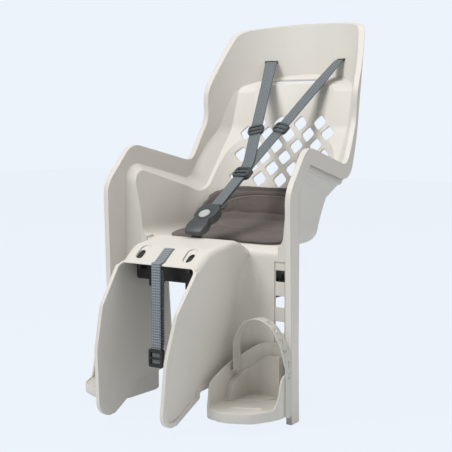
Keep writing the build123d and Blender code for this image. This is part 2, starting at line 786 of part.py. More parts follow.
with BuildPart() as safety_retainer:
    with BuildSketch(Plane.XY.offset(45)):
        with Locations((0, SAFETY_SLOT_Y)):
            RectangleRounded(40, 14, 4)
            Rectangle(SAFETY_WIDTH + 2 * WEB_CLEAR, WEB_THICK + 2 * WEB_CLEAR, mode=Mode.SUBTRACT)
    extrude(amount=4)
save(safety_retainer.part, "safety_strap_retainer")

lock_plane = Plane(origin=(0, SAFETY_DROP_Y, LOCK_Z), x_dir=(1, 0, 0), z_dir=(0, -1, 0))
with BuildPart() as ladder_lock:
    with BuildSketch(lock_plane):
        RectangleRounded(SAFETY_WIDTH + 10, 34, 4)
    extrude(amount=4, both=True)
    with BuildSketch(lock_plane):
        with GridLocations(1, 13, 1, 2):
            Rectangle(SAFETY_WIDTH + 2 * WEB_CLEAR, 8)
    extrude(amount=8, both=True, mode=Mode.SUBTRACT)
    with BuildSketch(lock_plane):
        Rectangle(SAFETY_WIDTH + 2 * WEB_CLEAR, 40)
    extrude(amount=WEB_THICK / 2 + WEB_CLEAR, both=True, mode=Mode.SUBTRACT)
save(ladder_lock.part, "ladder_lock")

# Footrest: tray with a fan wall round the heel, a heel cup, a strap slot and an outer lobe
latch_level = window_levels[-1]
heel_x, heel_y = step_corner(STEP_INSET, LEG_WALL_Y - TRAY_GAP)
side_x, side_y = step_corner(TRAY_GAP, FLANGE_LEG_Y - TRAY_GAP)
rim_x, rim_y = step_corner(TRAY_GAP, RIM_FRONT_Y - 3)
heel_plane = Plane(origin=(WINDOW_X, heel_y, latch_level), x_dir=(1, 0, 0), z_dir=(0, -1, 0))
strap_dir = Vector(math.cos(FOOT_STRAP_TURN), -math.sin(FOOT_STRAP_TURN), 0)
foot_strap_plane = Plane(
    origin=(TRAY_IN_X, FOOT_STRAP_Y, 0), x_dir=strap_dir, z_dir=strap_dir.cross(Vector(0, 0, 1))
)


def tray_plan(z, inset):
    with BuildSketch(Plane.XY.offset(z)) as plan:
        with BuildLine():
            FilletPolyline(
                (TRAY_IN_X + 40, heel_y),
                (heel_x, heel_y),
                (side_x, side_y),
                (rim_x, rim_y),
                (TRAY_LOBE_X, rim_y),
                (TRAY_LOBE_X, TRAY_FRONT_Y + 53),
                (TRAY_LOBE_X - 27, TRAY_FRONT_Y + 30),
                (TRAY_IN_X + 46, TRAY_FRONT_Y - 2),
                (TRAY_IN_X, TRAY_FRONT_Y + 12),
                (TRAY_IN_X, heel_y - 40),
                (TRAY_IN_X + 40, heel_y),
                radius=[40, 6, 8, 3, 6, 14, 26, 44, 22, 40],
                close=True,
            )
        make_face()
        if inset:
            offset(amount=-inset, mode=Mode.REPLACE)
    return plan.sketch


def above_edge(points, radii, start, width):
    """Block of air above an edge drawn in the side view."""
    with BuildPart() as air:
        with BuildSketch(Plane.YZ.offset(start)):
            with BuildLine():
                FilletPolyline(*points, radius=radii)
                Polyline(points[-1], (points[-1][0], 0), (points[0][0], 0), points[0])
            make_face()
        extrude(amount=width)
    return air.part


fan_edge = [(-260, TRAY_FLOOR_Z + 1), (-197, TRAY_FLOOR_Z + 1), (-186, -178), (-80, -141), (-40, -98)]
cup_edge = [(-260, TRAY_FLOOR_Z), (-146, TRAY_FLOOR_Z), (-138, -184), (-84, -164), (-62, -140), (-40, -140)]
with BuildPart() as ledge:
    extrude(tray_plan(TRAY_FLOOR_Z - 1, TRAY_WALL / 2), amount=100)
    add(above_edge(cup_edge, [4, 12, 14, 8], TRAY_IN_X - 20, 200), mode=Mode.SUBTRACT)
    with Locations((heel_x + 96, CUP_HEEL_Y, TRAY_FLOOR_Z + 50)):
        Box(200, 300, 120, mode=Mode.SUBTRACT)
    with BuildSketch(Plane.XY.offset(TRAY_FLOOR_Z)):
        with BuildLine():
            FilletPolyline((CUP_X, -300), (CUP_X, CUP_HEEL_Y), (300, CUP_HEEL_Y), radius=24)
            Polyline((300, CUP_HEEL_Y), (300, -300), (CUP_X, -300))
        make_face()
    extrude(amount=120, mode=Mode.SUBTRACT)

with BuildPart() as footrest:
    extrude(tray_plan(TRAY_BOTTOM_Z, 0), amount=TRAY_BACK_Z - TRAY_BOTTOM_Z)
    extrude(tray_plan(TRAY_FLOOR_Z, TRAY_WALL), amount=200, mode=Mode.SUBTRACT)
    extrude(
        tray_plan(TRAY_BOTTOM_Z, TRAY_WALL),
        amount=TRAY_FLOOR_Z - TRAY_FLOOR_T - TRAY_BOTTOM_Z,
        mode=Mode.SUBTRACT,
    )
    # The wall rises in a fan on the inner side and the heel, and stays low at the front and outside
    add(above_edge(fan_edge, [6, 24, 16], TRAY_IN_X - 20, 200), mode=Mode.SUBTRACT)
    low_side = [(heel_x + 98, CUP_HEEL_Y), (TRAY_IN_X + 115, CUP_HEEL_Y - 150)]
    with Locations([(x, y, TRAY_FLOOR_Z + 61) for x, y in low_side]):
        Box(200, 300, 120, mode=Mode.SUBTRACT)
    add(ledge.part)
    # Heel cup, sunk a little into the floor
    with BuildSketch(Plane.XY.offset(TRAY_FLOOR_Z - CUP_DEPTH)):
        with BuildLine():
            FilletPolyline(
                (CUP_X, CUP_HEEL_Y), (heel_x + 4, CUP_HEEL_Y), (heel_x + 6, -92), (heel_x - 4, -116), (128, -141),
                (CUP_X, -128), (CUP_X, CUP_HEEL_Y), radius=[24, 8, 14, 20, 12, 8], close=True,
            )
        make_face()
    extrude(amount=2 * CUP_DEPTH, mode=Mode.SUBTRACT)
    # Grip rib on the front of the floor
    with BuildSketch(Plane.XY.offset(TRAY_FLOOR_Z)):
        with Locations(Location((167, -170), 29)):
            SlotOverall(62, 5)
    extrude(amount=1.6)
    # Outer lobe that takes the strap
    with BuildSketch(Plane.YZ.offset(TRAY_LOBE_X - TRAY_WALL)):
        with BuildLine():
            lobe_low = TRAY_FLOOR_Z - TRAY_FLOOR_T
            FilletPolyline(
                (TRAY_FRONT_Y + 53, lobe_low), (TRAY_FRONT_Y + 60, LOBE_TOP_Z), (rim_y, LOBE_TOP_Z), (rim_y, lobe_low),
                radius=[20, 8],
            )
            Line((rim_y, lobe_low), (TRAY_FRONT_Y + 53, lobe_low))
        make_face()
    extrude(amount=TRAY_WALL)
    # Slot for the strap in the fan wall, pocket for the latch in the heel
    with BuildSketch(Plane.YZ.offset(TRAY_IN_X - 5)):
        with Locations((FOOT_STRAP_Y, FOOT_STRAP_Z)):
            RectangleRounded(FOOT_STRAP_W + 4, FOOT_STRAP_T + 4, 2)
    extrude(amount=14, mode=Mode.SUBTRACT)
    with BuildSketch(heel_plane):
        Rectangle(LATCH_SIZE + 2 * FIT, LATCH_SIZE + 2 * FIT)
    extrude(amount=12, both=True, mode=Mode.SUBTRACT)
    with BuildSketch(heel_plane.offset(TRAY_WALL)):
        with Locations((0, -4)):
            Rectangle(LATCH_SIZE + 3, LATCH_SIZE + 15)
    extrude(amount=3.2, mode=Mode.SUBTRACT)

with BuildPart() as latch:
    with BuildSketch(heel_plane.offset(TRAY_WALL + FIT)):
        RectangleRounded(LATCH_SIZE, LATCH_SIZE, 2)
    extrude(amount=-TRAY_WALL - FIT - 6)
    with BuildSketch(heel_plane.offset(TRAY_WALL + FIT)):
        with Locations((0, -4)):
            RectangleRounded(LATCH_SIZE + 2, LATCH_SIZE + 14, 3)
    extrude(amount=2)

strap_side_x = TRAY_LOBE_X + FOOT_STRAP_T / 2 + FOOT_STRAP_W / 2 * math.sin(FOOT_STRAP_TURN) + 0.1
strap_out = (strap_side_x - TRAY_IN_X) / math.cos(FOOT_STRAP_TURN)
with BuildPart() as foot_strap:
    with BuildSketch(foot_strap_plane):
        with BuildLine():
            FilletPolyline(
                (-4, FOOT_STRAP_Z),
                (11, FOOT_STRAP_Z),
                (11, -108),
                (34, -71),
                (66, -60),
                (98, -74),
                (118, -104),
                (strap_out, -146),
                (strap_out, FOOT_STRAP_END_Z),
                radius=[5, 30, 30, 40, 40, 50, 40],
            )
        trace(line_width=FOOT_STRAP_T)
    extrude(amount=FOOT_STRAP_W / 2, both=True)

for name, side in SIDES:
    for piece, title in ((footrest, "footrest"), (latch, "footrest_latch"), (foot_strap, "foot_strap")):
        save(piece.part if side > 0 else mirrored(piece.part), f"{title}_{name}")

# Carrier block under the seat
jaw_in = RAIL_X + 2.0
block_top_z = FLOOR_Z - WALL - FIT
with BuildPart() as carrier_block:
    with BuildSketch(Plane.YZ):
        with BuildLine():
            FilletPolyline(
                (BLOCK_FRONT_Y, 0),
                (BLOCK_FRONT_Y, BLOCK_LOW_Z),
                (-42, BLOCK_LOW_Z),
                (-34, block_top_z),
                (BLOCK_REAR_Y, block_top_z),
                (BLOCK_REAR_Y, 0),
                (BLOCK_FRONT_Y, 0),
                radius=[4, 6, 3, 3, 12, 6],
                close=True,
            )
        make_face()
    extrude(amount=BLOCK_HALF, both=True)
    fillet(carrier_block.edges().filter_by(Axis.Z), 6)
    # Locating ribs and the hooks that reach into the platform
    for side in (1, -1):
        with BuildSketch(Plane.YZ.offset(side * 43)):
            with BuildLine():
                FilletPolyline(
                    (BLOCK_FRONT_Y + 2, 4), (BLOCK_FRONT_Y + 2, -13), (BLOCK_FRONT_Y + 30, -13),
                    (BLOCK_FRONT_Y + 44, 4), radius=[4, 6],
                )
                Line((BLOCK_FRONT_Y + 44, 4), (BLOCK_FRONT_Y + 2, 4))
            make_face()
        extrude(amount=6, both=True)
        with BuildSketch(Plane.YZ.offset(side * HOOK_X)):
            with BuildLine():
                hook_front = HOOK_Y - HOOK_DEPTH / 2
                hook_back = HOOK_Y + HOOK_DEPTH / 2
                FilletPolyline(
                    (BLOCK_FRONT_Y + 16, 16), (hook_front, 22), (hook_front, 43), (hook_back, 54), (hook_back, 30),
                    (BLOCK_FRONT_Y + 16, 30), radius=[3, 2, 2, 2],
                )
                Line((BLOCK_FRONT_Y + 16, 30), (BLOCK_FRONT_Y + 16, 16))
            make_face()
        extrude(amount=HOOK_HALF, both=True)
    # Lug that carries the spindle
    with BuildSketch(Plane.YZ):
        with Locations((SPINDLE_Y, SPINDLE_Z)):
            Circle(SPINDLE_R + 6)
        with Locations((SPINDLE_Y, SPINDLE_Z / 2 + 2)):
            Rectangle(2 * SPINDLE_R + 12, -SPINDLE_Z + 4)
    extrude(amount=9, both=True)
    with BuildSketch(Plane.YZ):
        with Locations((SPINDLE_Y, SPINDLE_Z)):
            Circle(SPINDLE_R + RUNNING_FIT)
    extrude(amount=200, both=True, mode=Mode.SUBTRACT)
    # Guide slots for the jaws' tongues, and clearance over the jaws in the rack face
    for side in (1, -1):
        with Locations((side * (BLOCK_HALF - 4), SPINDLE_Y, 20)):
            Box(60, JAW_LENGTH - 20 + 2 * FIT, 12 + 2 * FIT, mode=Mode.SUBTRACT)
        with Locations((side * (jaw_in + 28.5), SPINDLE_Y, 0)):
            Box(60, JAW_LENGTH + 4, 16, mode=Mode.SUBTRACT)
    # Bolt holes with pockets for washers and nuts from below
    with BuildSketch(Plane.XY):
        with Locations(*[(side * BOLT_X, y) for side in (1, -1) for y in BOLT_YS]):
            Circle(BOLT_R + FIT)
    extrude(amount=80, mode=Mode.SUBTRACT)
    with BuildSketch(Plane.XY.offset(-1)):
        with Locations(*[(side * BOLT_X, y) for side in (1, -1) for y in BOLT_YS]):
            Circle(9)
    extrude(amount=13, mode=Mode.SUBTRACT)
save(carrier_block.part, "carrier_block")

# Clamp jaws that close on the rack's rails from outside
with BuildPart() as jaw:
    with BuildSketch(Plane.XZ.offset(-SPINDLE_Y)):
        with BuildLine():
            FilletPolyline(
                (jaw_in, JAW_BOTTOM_Z),
                (BLOCK_HALF + JAW_WALL, JAW_BOTTOM_Z),
                (BLOCK_HALF + JAW_WALL, 28),
                (BLOCK_HALF + FIT, 28),
                (BLOCK_HALF + FIT, -1),
                (jaw_in, -1),
                (jaw_in, JAW_BOTTOM_Z),
                radius=[6, 8, 4, 2, 2, 1],
                close=True,
            )
        make_face()
        with Locations((RAIL_X, RAIL_Z)):
            Circle(RAIL_R + PAD_THICK + FIT / 2, mode=Mode.SUBTRACT)
    extrude(amount=JAW_LENGTH / 2, both=True)
    with Locations((BLOCK_HALF - 10, SPINDLE_Y, 20)):
        Box(24, JAW_LENGTH - 20, 12)
    with BuildSketch(Plane.YZ):
        with Locations((SPINDLE_Y, SPINDLE_Z)):
            Circle(SPINDLE_R + RUNNING_FIT)
    extrude(amount=200, mode=Mode.SUBTRACT)

with BuildPart() as jaw_pad:
    with BuildSketch(Plane.XZ.offset(-SPINDLE_Y)):
        with Locations((RAIL_X, RAIL_Z)):
            Circle(RAIL_R + PAD_THICK)
            Circle(RAIL_R, mode=Mode.SUBTRACT)
        with Locations((RAIL_X + 2.4 - 20, RAIL_Z)):
            Rectangle(40, 60, mode=Mode.SUBTRACT)
        with Locations((RAIL_X, RAIL_Z + 30 + 5)):
            Rectangle(60, 60, mode=Mode.SUBTRACT)
    extrude(amount=JAW_LENGTH / 2 - 1, both=True)

for name, side in SIDES:
    for piece, title in ((jaw, "clamp_jaw"), (jaw_pad, "jaw_pad")):
        save(piece.part if side > 0 else mirrored(piece.part), f"{title}_{name}")

# Spindle with its collars, and the hand knob
spindle_plane = Plane(origin=(0, SPINDLE_Y, SPINDLE_Z), x_dir=(0, 1, 0), z_dir=(1, 0, 0))
with BuildPart() as clamp_spindle:
    with BuildSketch(spindle_plane.offset(-BLOCK_HALF - 18)):
        Circle(SPINDLE_R)
    extrude(amount=BLOCK_HALF + 18 + KNOB_X + KNOB_WIDTH - 6)
    for start in (9 + FIT, -9 - FIT - 4):
        with BuildSketch(spindle_plane.offset(start)):
            Circle(SPINDLE_R + 4)
        extrude(amount=4)
save(clamp_spindle.part, "clamp_spindle")

with BuildPart() as clamp_knob:
    with BuildSketch(spindle_plane.offset(KNOB_X)):
        Circle(KNOB_R)
        with PolarLocations(KNOB_R + 4, 6):
            Circle(9, mode=Mode.SUBTRACT)
    extrude(amount=KNOB_WIDTH)
    fillet(clamp_knob.faces().sort_by(Axis.X)[-1].outer_wire().edges(), 3)
    with BuildSketch(spindle_plane.offset(KNOB_X - KNOB_HUB)):
        Circle(13)
    extrude(amount=KNOB_HUB)
    with BuildSketch(spindle_plane.offset(KNOB_X - KNOB_HUB - 2)):
        Circle(SPINDLE_R)
    extrude(amount=KNOB_WIDTH - 6 + KNOB_HUB + 2, mode=Mode.SUBTRACT)
save(clamp_knob.part, "clamp_knob")

# Bolts, washers and nuts that hold the block to the seat floor
bolt_spots = [(side * BOLT_X, y) for side in (1, -1) for y in BOLT_YS]
with BuildPart() as block_bolts:
    with BuildSketch(Plane.XY.offset(FLOOR_Z)):
        with Locations(*bolt_spots):
            Circle(HEAD_R)
    extrude(amount=HEAD_HEIGHT)
    with BuildSketch(Plane.XY.offset(FLOOR_Z)):
        with Locations(*bolt_spots):
            Circle(BOLT_R)
    extrude(amount=-FLOOR_Z + 3)
save(block_bolts.part, "block_bolts")

with BuildPart() as block_washers:
    with BuildSketch(Plane.XY.offset(WASHER_Z)):
        with Locations(*bolt_spots):
            Circle(HEAD_R)
            Circle(BOLT_R + FIT, mode=Mode.SUBTRACT)
    extrude(amount=-WASHER_THICK)
save(block_washers.part, "block_washers")

with BuildPart() as block_nuts:
    with BuildSketch(Plane.XY.offset(WASHER_Z - WASHER_THICK)):
        with Locations(*bolt_spots):
            RegularPolygon(5.77, 6)
            Circle(BOLT_R, mode=Mode.SUBTRACT)
    extrude(amount=-5)
save(block_nuts.part, "block_nuts")
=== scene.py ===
"""Looks of the child bike seat: finishes, webbing, buckle end, footrests, cushion, floor, light and camera."""

import json
import math

import bmesh
import bpy
from mathutils import Matrix, Vector
from mathutils.bvhtree import BVHTree


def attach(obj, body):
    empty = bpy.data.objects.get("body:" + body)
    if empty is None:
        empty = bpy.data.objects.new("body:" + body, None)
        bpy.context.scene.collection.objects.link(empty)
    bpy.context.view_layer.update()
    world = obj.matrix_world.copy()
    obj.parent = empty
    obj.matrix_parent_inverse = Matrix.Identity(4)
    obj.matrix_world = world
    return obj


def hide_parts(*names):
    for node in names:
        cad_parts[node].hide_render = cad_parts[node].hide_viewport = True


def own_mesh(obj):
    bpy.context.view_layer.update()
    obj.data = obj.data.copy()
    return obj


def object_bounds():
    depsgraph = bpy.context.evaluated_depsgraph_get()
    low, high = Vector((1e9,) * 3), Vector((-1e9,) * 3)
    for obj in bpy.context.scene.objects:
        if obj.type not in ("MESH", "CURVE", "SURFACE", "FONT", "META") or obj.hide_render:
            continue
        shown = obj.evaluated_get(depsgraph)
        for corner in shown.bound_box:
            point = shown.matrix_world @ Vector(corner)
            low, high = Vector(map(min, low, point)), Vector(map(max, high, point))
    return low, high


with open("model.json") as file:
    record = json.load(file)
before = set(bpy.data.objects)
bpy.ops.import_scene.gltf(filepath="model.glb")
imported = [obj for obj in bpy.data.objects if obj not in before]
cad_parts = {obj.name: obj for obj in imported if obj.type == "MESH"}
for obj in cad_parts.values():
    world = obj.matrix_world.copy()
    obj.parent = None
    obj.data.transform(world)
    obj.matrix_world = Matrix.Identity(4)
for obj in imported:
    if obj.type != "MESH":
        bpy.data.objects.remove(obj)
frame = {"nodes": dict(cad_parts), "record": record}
cad_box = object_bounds()
nodes = frame["nodes"]
scene = bpy.context.scene

# Sizes and places are in millimetres in the frame of the solids, unless a comment says otherwise.
MM = 0.001
WIDE = Vector((1, 0, 0))
SIDES = (("left", 1), ("right", -1))

# Harness: the straps are a little wider than their solids, as in the photo
WEB_WIDTH = 27.0
WEB_THICK = 1.6
WEB_CROWN = 0.12  # share of the thickness that the face loses towards its edges
WEB_STEPS = 12
SHOULDER_SLOT = (89.0, 428.0)  # x, z
HEAD_BACK_Y = 325.0
HEAD_BACK_R = 230.0
SLOT_TAIL = 12.0
SLOT_LIP = 1.0
SLOT_FRONT = 7.0
TWIST_START = 12.0
TWIST_END = 70.0
TWIST_AT_MOUTH = (1.0, 0.3)  # shares of the slot's and the free run's width direction
TWIST_AT_START = (0.7, 0.4)
MERGE_EASE = 55.0
STRAP_STEP = 3.0
STRAP_EASE = 0.45  # share of a stretch that its rounded end takes up
PLY_SHIFT = 1.2
PLY_END_SHIFT = 2.7

# Buckle: distances run along its slope from its centre
BUCKLE_CENTRE = Vector((0.0, -68.0, 112.0))
BUCKLE_DROP = math.radians(33.6)
TONGUE_LEVEL = -4.0
STRAPS_MERGE = 174.0
STRAPS_END = 41.0
CROTCH_IN = 22.0
CROTCH_OUT = 36.0
CROTCH_DIP = 6.0
CROTCH_Y = -99.0
CROTCH_FOOT = 59.5
CROTCH_RADII = [4, 3]
SKIRT_STATIONS = [  # down the slope, half width, half thickness
    (26, 22, 8.4), (31, 23, 8.6), (38, 22.5, 8), (46, 21, 6.4), (51, 19.5, 4.4), (52.5, 18, 3),
]
SKIRT_CORNER = 3.0
drop = Vector((0, -math.cos(BUCKLE_DROP), -math.sin(BUCKLE_DROP)))
face_up = Vector((0, -math.sin(BUCKLE_DROP), math.cos(BUCKLE_DROP)))
strap_line = BUCKLE_CENTRE + face_up * TONGUE_LEVEL
merge = strap_line - drop * STRAPS_MERGE
strap_end = strap_line - drop * STRAPS_END

# Safety strap in the side view: y, z
SAFETY_WIDTH = 22.0
SIDE_STEP = 2.0
SAFETY_ROUTE = [(-182, 44), (-182, 64.4), (-209.5, 43.4), (-215, 39.6), (-224, 39.6), (-224, -150)]
SAFETY_RADII = [2, 6, 5, 3]
BACK_PLY_ROUTE = [(-217, 26), (-214, 0), (-214, -108), (-221.6, -138), (-221.8, -150)]
BACK_PLY_RADII = [30, 40, 10]

# Foot strap: its route is drawn in its own upright plane, from its start on the footrest's inner wall
FOOT_STRAP_START = (94.5, -115.0)
FOOT_STRAP_TURN = math.radians(4.0)
FOOT_STRAP_WIDTH = 20.0
FOOT_STRAP_THICK = 2.2
FOOT_STRAP_CUT = 3.0
FOOT_ROUTE = [
    (-4, -168), (11, -168), (11, -108), (34, -71), (66, -60), (98, -74), (118, -104), (130.7, -146),
    (130.7, -238),
]
FOOT_RADII = [5, 30, 30, 40, 40, 50, 40]
FOOT_HOLES = 8
FOOT_HOLE_PITCH = 21.0
FOOT_FIRST_HOLE = 128.0
FOOT_HOLE_HALF = [(6.6, 1.7), (0.6, 1.7), (-3.6, 5.9), (-6.2, 3.8), (-2.2, 0.0)]  # arrow: along, across

# Footrest: corners in plan are x, y and corner radius; tops are x, y and the rim's height there
TRAY_BOTTOM = -236.0
TRAY_FLOOR = -219.0
TRAY_WALL = 3.5
TRAY_CORNERS = [
    (94.5, -140, 0), (94.5, -97.1, 40), (134.5, -57.1, 40), (173.6, -57.1, 6), (203, -66.5, 8),
    (209.2, -118.5, 3), (223, -118.5, 6), (223, -150, 10), (217, -168, 20), (200, -203, 34), (150, -227, 50),
    (108, -216, 20), (94.5, -190, 16), (94.5, -141, 0),
]
TRAY_TOPS = [
    (94.5, -140, -155.5), (94.5, -117, -149), (94.5, -97, -145), (112, -79.6, -131), (125, -66.6, -122),
    (137, -57.5, -119.4), (172, -57.1, -118), (175, -57.5, -217), (207, -98, -217), (216, -118.5, -215),
    (221, -119, -166), (223, -126, -156.5), (223, -136, -157.5), (223, -143, -164), (222.6, -147, -173),
    (222, -150, -186), (220.5, -156, -207), (218, -163, -216), (200, -203, -217), (150, -225, -217),
    (112, -217, -216.5), (104, -209, -211), (99, -199, -197), (96, -193, -181), (94.5, -186, -175),
    (94.5, -172, -167.8), (94.5, -145, -157), (94.5, -141, -155.8),
]
TRAY_EDGE = [(2.0, 0.0), (0.6, 0.6), (0.0, 2.0)]  # rounded lower edge: inwards, up
FILLET_HEIGHT = 4.0
FILLET_MIDDLE = (0.9, 1.3)  # inwards, up
FILLET_REACH = 2.5
RIM_GAP = 0.05  # least step between two points of a section
RIM_STEPS = 6
RIM_JUMP = 40.0  # a larger change of height stays a sharp step
RIM_EASE_ROUNDS = 4
CUP_CORNERS = [(112, -150, 0), (112, -73, 24), (173, -73, 0)]
CUP_TOPS = [
    (112, -150, -220), (112, -143, -207), (112, -138, -192), (112, -130, -185), (112, -121, -180),
    (112, -100, -173), (119, -80, -164), (126, -75, -155), (137, -73, -147.5), (146, -73, -144),
    (173, -73, -143),
]
CUP_EDGE = [(2.0, 0.0), (0.9, 0.3), (0.3, 0.9), (0.0, 2.0)]  # rounded upper edge: inwards, down
CUP_LEAST = 2.1  # least height of its face
CUP_INNER_X = 96.25  # the cup's body ends in the middle of the tray's wall: inner side, back and slant
CUP_BACK_Y = -58.85
CUP_SLANT = 194.1  # x - y
CUP_FRONT = [(112, -140, 0), (116, -133, 10), (140, -127, 30), (166, -106, 16), (173, -82, 0)]
CUP_FRONT_BEAD = (2.4, 2.8)  # half width, rise
GRIP_RIB = [(142, -190, 0), (198, -163, 0)]
GRIP_RIB_BEAD = (4.6, 3.8)
BEAD_STEP = 1.5
BEAD_END = 0.3  # share of its size at its end, and what each step adds
BEAD_GROWTH = 0.25
FLOOR_SINK = 1.0  # what the cup and the beads reach below the floor's face
SHARP_EDGE = 0.6  # radians

# Cushion: the seat meets the back at the corner (y, z), and the back leans by a share of its height
PAD_CORNER = (151.7, 76.6)
PAD_LEAN = 0.347
PAD_UP = Vector((0, -0.71, 0.71))
PAD_VOXEL = 4.0
PAD_SHRINK = 2.5
PAD_SWELL = 5.0
SWELL_PRESSURE = 4.0
SWELL_FRAMES = 20
RELAX_ROUNDS = 8
EVEN_ROUNDS = 14
PAD_FLOOR = 61.6
PAD_THIN_FROM = 60.0
PAD_THIN_OVER = 94.0
PAD_THIN_SHARE = 0.5
CORNER_FILL = 21.0
CORNER_REACH = 60.0
OVAL_AT = -4.0
OVAL_HALF_WIDTH = 103.0
OVAL_HALF_LENGTH = 82.0
OVAL_POWER = 2.6
OVAL_CROWN = 2.0
OVAL_POINTS = 160
SEAM_DEPTH = 2.2
SEAM_WIDTH = 3.0
SEAM_EYE = (-20.0, 230.0)  # y, z from which a seam is cast onto the pad
SEAM_LIFT = 0.3
PIPING_RADIUS = 1.2
BAND_Z = 150.0
BAND_HALF = 118
BAND_STEP = 4
OVAL_STITCH_INSET = 5.0
BAND_STITCH_INSET = 4.0
STITCH_PITCH = 5.0
STITCH_LENGTH = 3.4
STITCH_THREAD = 0.9

# Stage: metres and watts; the camera was fitted to the photo
FLOOR_SIZE = 14.0
FLOOR_GLOW = 0.97  # share of its own colour that the floor shows to the camera
SKY_LIGHT = 0.30
LAMP_TARGET = (0.0, 0.0, 0.1)
LAMP_SIZE = 1.6
LAMPS = {"key": ((-0.9, -1.9, 2.6), 74), "fill": ((2.4, 0.3, 1.7), 13), "top": ((0.2, 0.6, 2.4), 20)}
CAMERA_PLACE = Vector((1.2068, -1.7235, 0.3045))
CAMERA_RIGHT = Vector((0.8192, 0.5736, 0.0))
CAMERA_UP = Vector((-0.0585, 0.0835, 0.9948))
CAMERA_BACK = Vector((0.5706, -0.8149, 0.1019))
CAMERA_LENS = 84.2  # millimetres
CAMERA_SENSOR = 36.0


class Wire:
    """A shader socket that can stand in a sum or a product."""

    def __init__(self, finish, socket):
        self.finish = finish
        self.socket = socket

    def __add__(self, other):
        return self.finish.math("ADD", self, other)

    def __sub__(self, other):
        return self.finish.math("SUBTRACT", self, other)

    def __rsub__(self, other):
        return self.finish.math("SUBTRACT", other, self)

    def __mul__(self, other):
        return self.finish.math("MULTIPLY", self, other)

    def __abs__(self):
        return self.finish.math("ABSOLUTE", self)

    __radd__ = __add__
    __rmul__ = __mul__


class Finish:
    """One procedural finish around a Principled shader, with its lengths in metres."""

    def __init__(self, name, **fixed):
        self.material = bpy.data.materials.new(name)
        self.material.use_nodes = True
        self.tree = self.material.node_tree
        self.shader = self.tree.nodes["Principled BSDF"]
        for title, value in fixed.items():
            self.shader.inputs[title.replace("_", " ").title().replace("Ior", "IOR")].default_value = value

    def node(self, kind, settings=None, **sockets):
        made = self.tree.nodes.new("ShaderNode" + kind)
        for title, value in (settings or {}).items():
            setattr(made, title, value)
        for title, value in sockets.items():
            self.plug(made.inputs[title.replace("_", " ")], value)
        return made

    def plug(self, socket, value):
        if isinstance(value, Wire):
            value = value.socket
        if isinstance(value, bpy.types.NodeSocket):
            self.tree.links.new(value, socket)
        else:
            socket.default_value = value

    def math(self, operation, *values):
        made = self.node("Math", {"operation": operation})
        for socket, value in zip(made.inputs, values):
            self.plug(socket, value)
        return Wire(self, made.outputs[0])

    def sine(self, value):
        return self.math("SINE", value)

    def clamp(self, value, low, high):
        """0 at the low value and below, 1 at the high one and above."""
        made = self.node("MapRange", Value=value, From_Min=low, From_Max=high)
        return Wire(self, made.outputs["Result"])

    def mix(self, factor, first, second):
        made = self.node("Mix", {"data_type": "RGBA"})
        self.plug(made.inputs[0], factor)
        self.plug(made.inputs[6], first)
        self.plug(made.inputs[7], second)
        return made.outputs[2]

    def place(self):
        return self.node("TexCoord").outputs["Object"]

    def split(self, vector):
        made = self.node("SeparateXYZ", Vector=vector)
        return [Wire(self, socket) for socket in made.outputs]

    def noise(self, vector, scale, detail=2.0, roughness=0.5):
        made = self.node("TexNoise", Vector=vector, Scale=scale, Detail=detail, Roughness=roughness)
        return Wire(self, made.outputs[0])

    def rounded(self, radius):
        """Normal that rounds off the moulded edges."""
        return self.node("Bevel", {"samples": 6}, Radius=radius).outputs[0]

    def relief(self, height, distance, strength, normal=None):
        made = self.node("Bump", Strength=strength, Distance=distance, Height=height)
        if normal is not None:
            self.plug(made.inputs["Normal"], normal)
        self.plug(self.shader.inputs["Normal"], made.outputs[0])

    def colour(self, value):
        self.plug(self.shader.inputs["Base Color"], value)

    def rough(self, value):
        self.plug(self.shader.inputs["Roughness"], value)


def tone(colour, factor):
    """The colour, lighter or darker, with its alpha."""
    return tuple(min(1.0, channel * factor) for channel in colour) + (1.0,)


def srgb(red, green, blue):
    """Linear colour of an 8-bit colour."""
    return tuple(
        (channel / 255 / 12.92) if channel < 11 else ((channel / 255 + 0.055) / 1.055) ** 2.4
        for channel in (red, green, blue)
    )


def moulded_plastic(name, colour, roughness, edge, grain=1.0):
    """Injection-moulded plastic: fine spark-eroded grain, cloudy tone and rounded edges."""
    finish = Finish(name, roughness=roughness)
    place = finish.place()
    fine = finish.noise(place, scale=1400.0, detail=3.0, roughness=0.6)
    cloud = finish.noise(place, scale=7.0, detail=3.0)
    finish.colour(finish.mix(cloud, tone(colour, 0.965), tone(colour, 1.03)))
    finish.rough(roughness + (cloud - 0.5) * 0.10 + (fine - 0.5) * 0.12)
    finish.relief(fine, distance=0.00012 * grain, strength=0.55, normal=finish.rounded(edge))
    return finish.material


def cushion_fabric():
    """Close taupe weave with a soft nap and darker, flattened patches."""
    colour = srgb(99, 91, 88)
    threads = 4200.0  # radians per metre
    finish = Finish("cushion_fabric", roughness=0.9, sheen_weight=0.12, sheen_roughness=0.6)
    x, y, z = finish.split(finish.place())
    weave = finish.sine(x * threads) * finish.sine((y + z) * threads)
    nap = finish.noise(finish.place(), scale=260.0, detail=4.0, roughness=0.65)
    patch = finish.noise(finish.place(), scale=14.0)
    shade = finish.clamp(nap * 0.55 + patch * 0.45, low=0.32, high=0.68)
    finish.colour(finish.mix(shade, tone(colour, 0.74), tone(colour, 1.16)))
    finish.rough(0.84 + nap * 0.12)
    finish.relief(weave * 0.35 + nap, distance=0.0005, strength=0.7)
    return finish.material


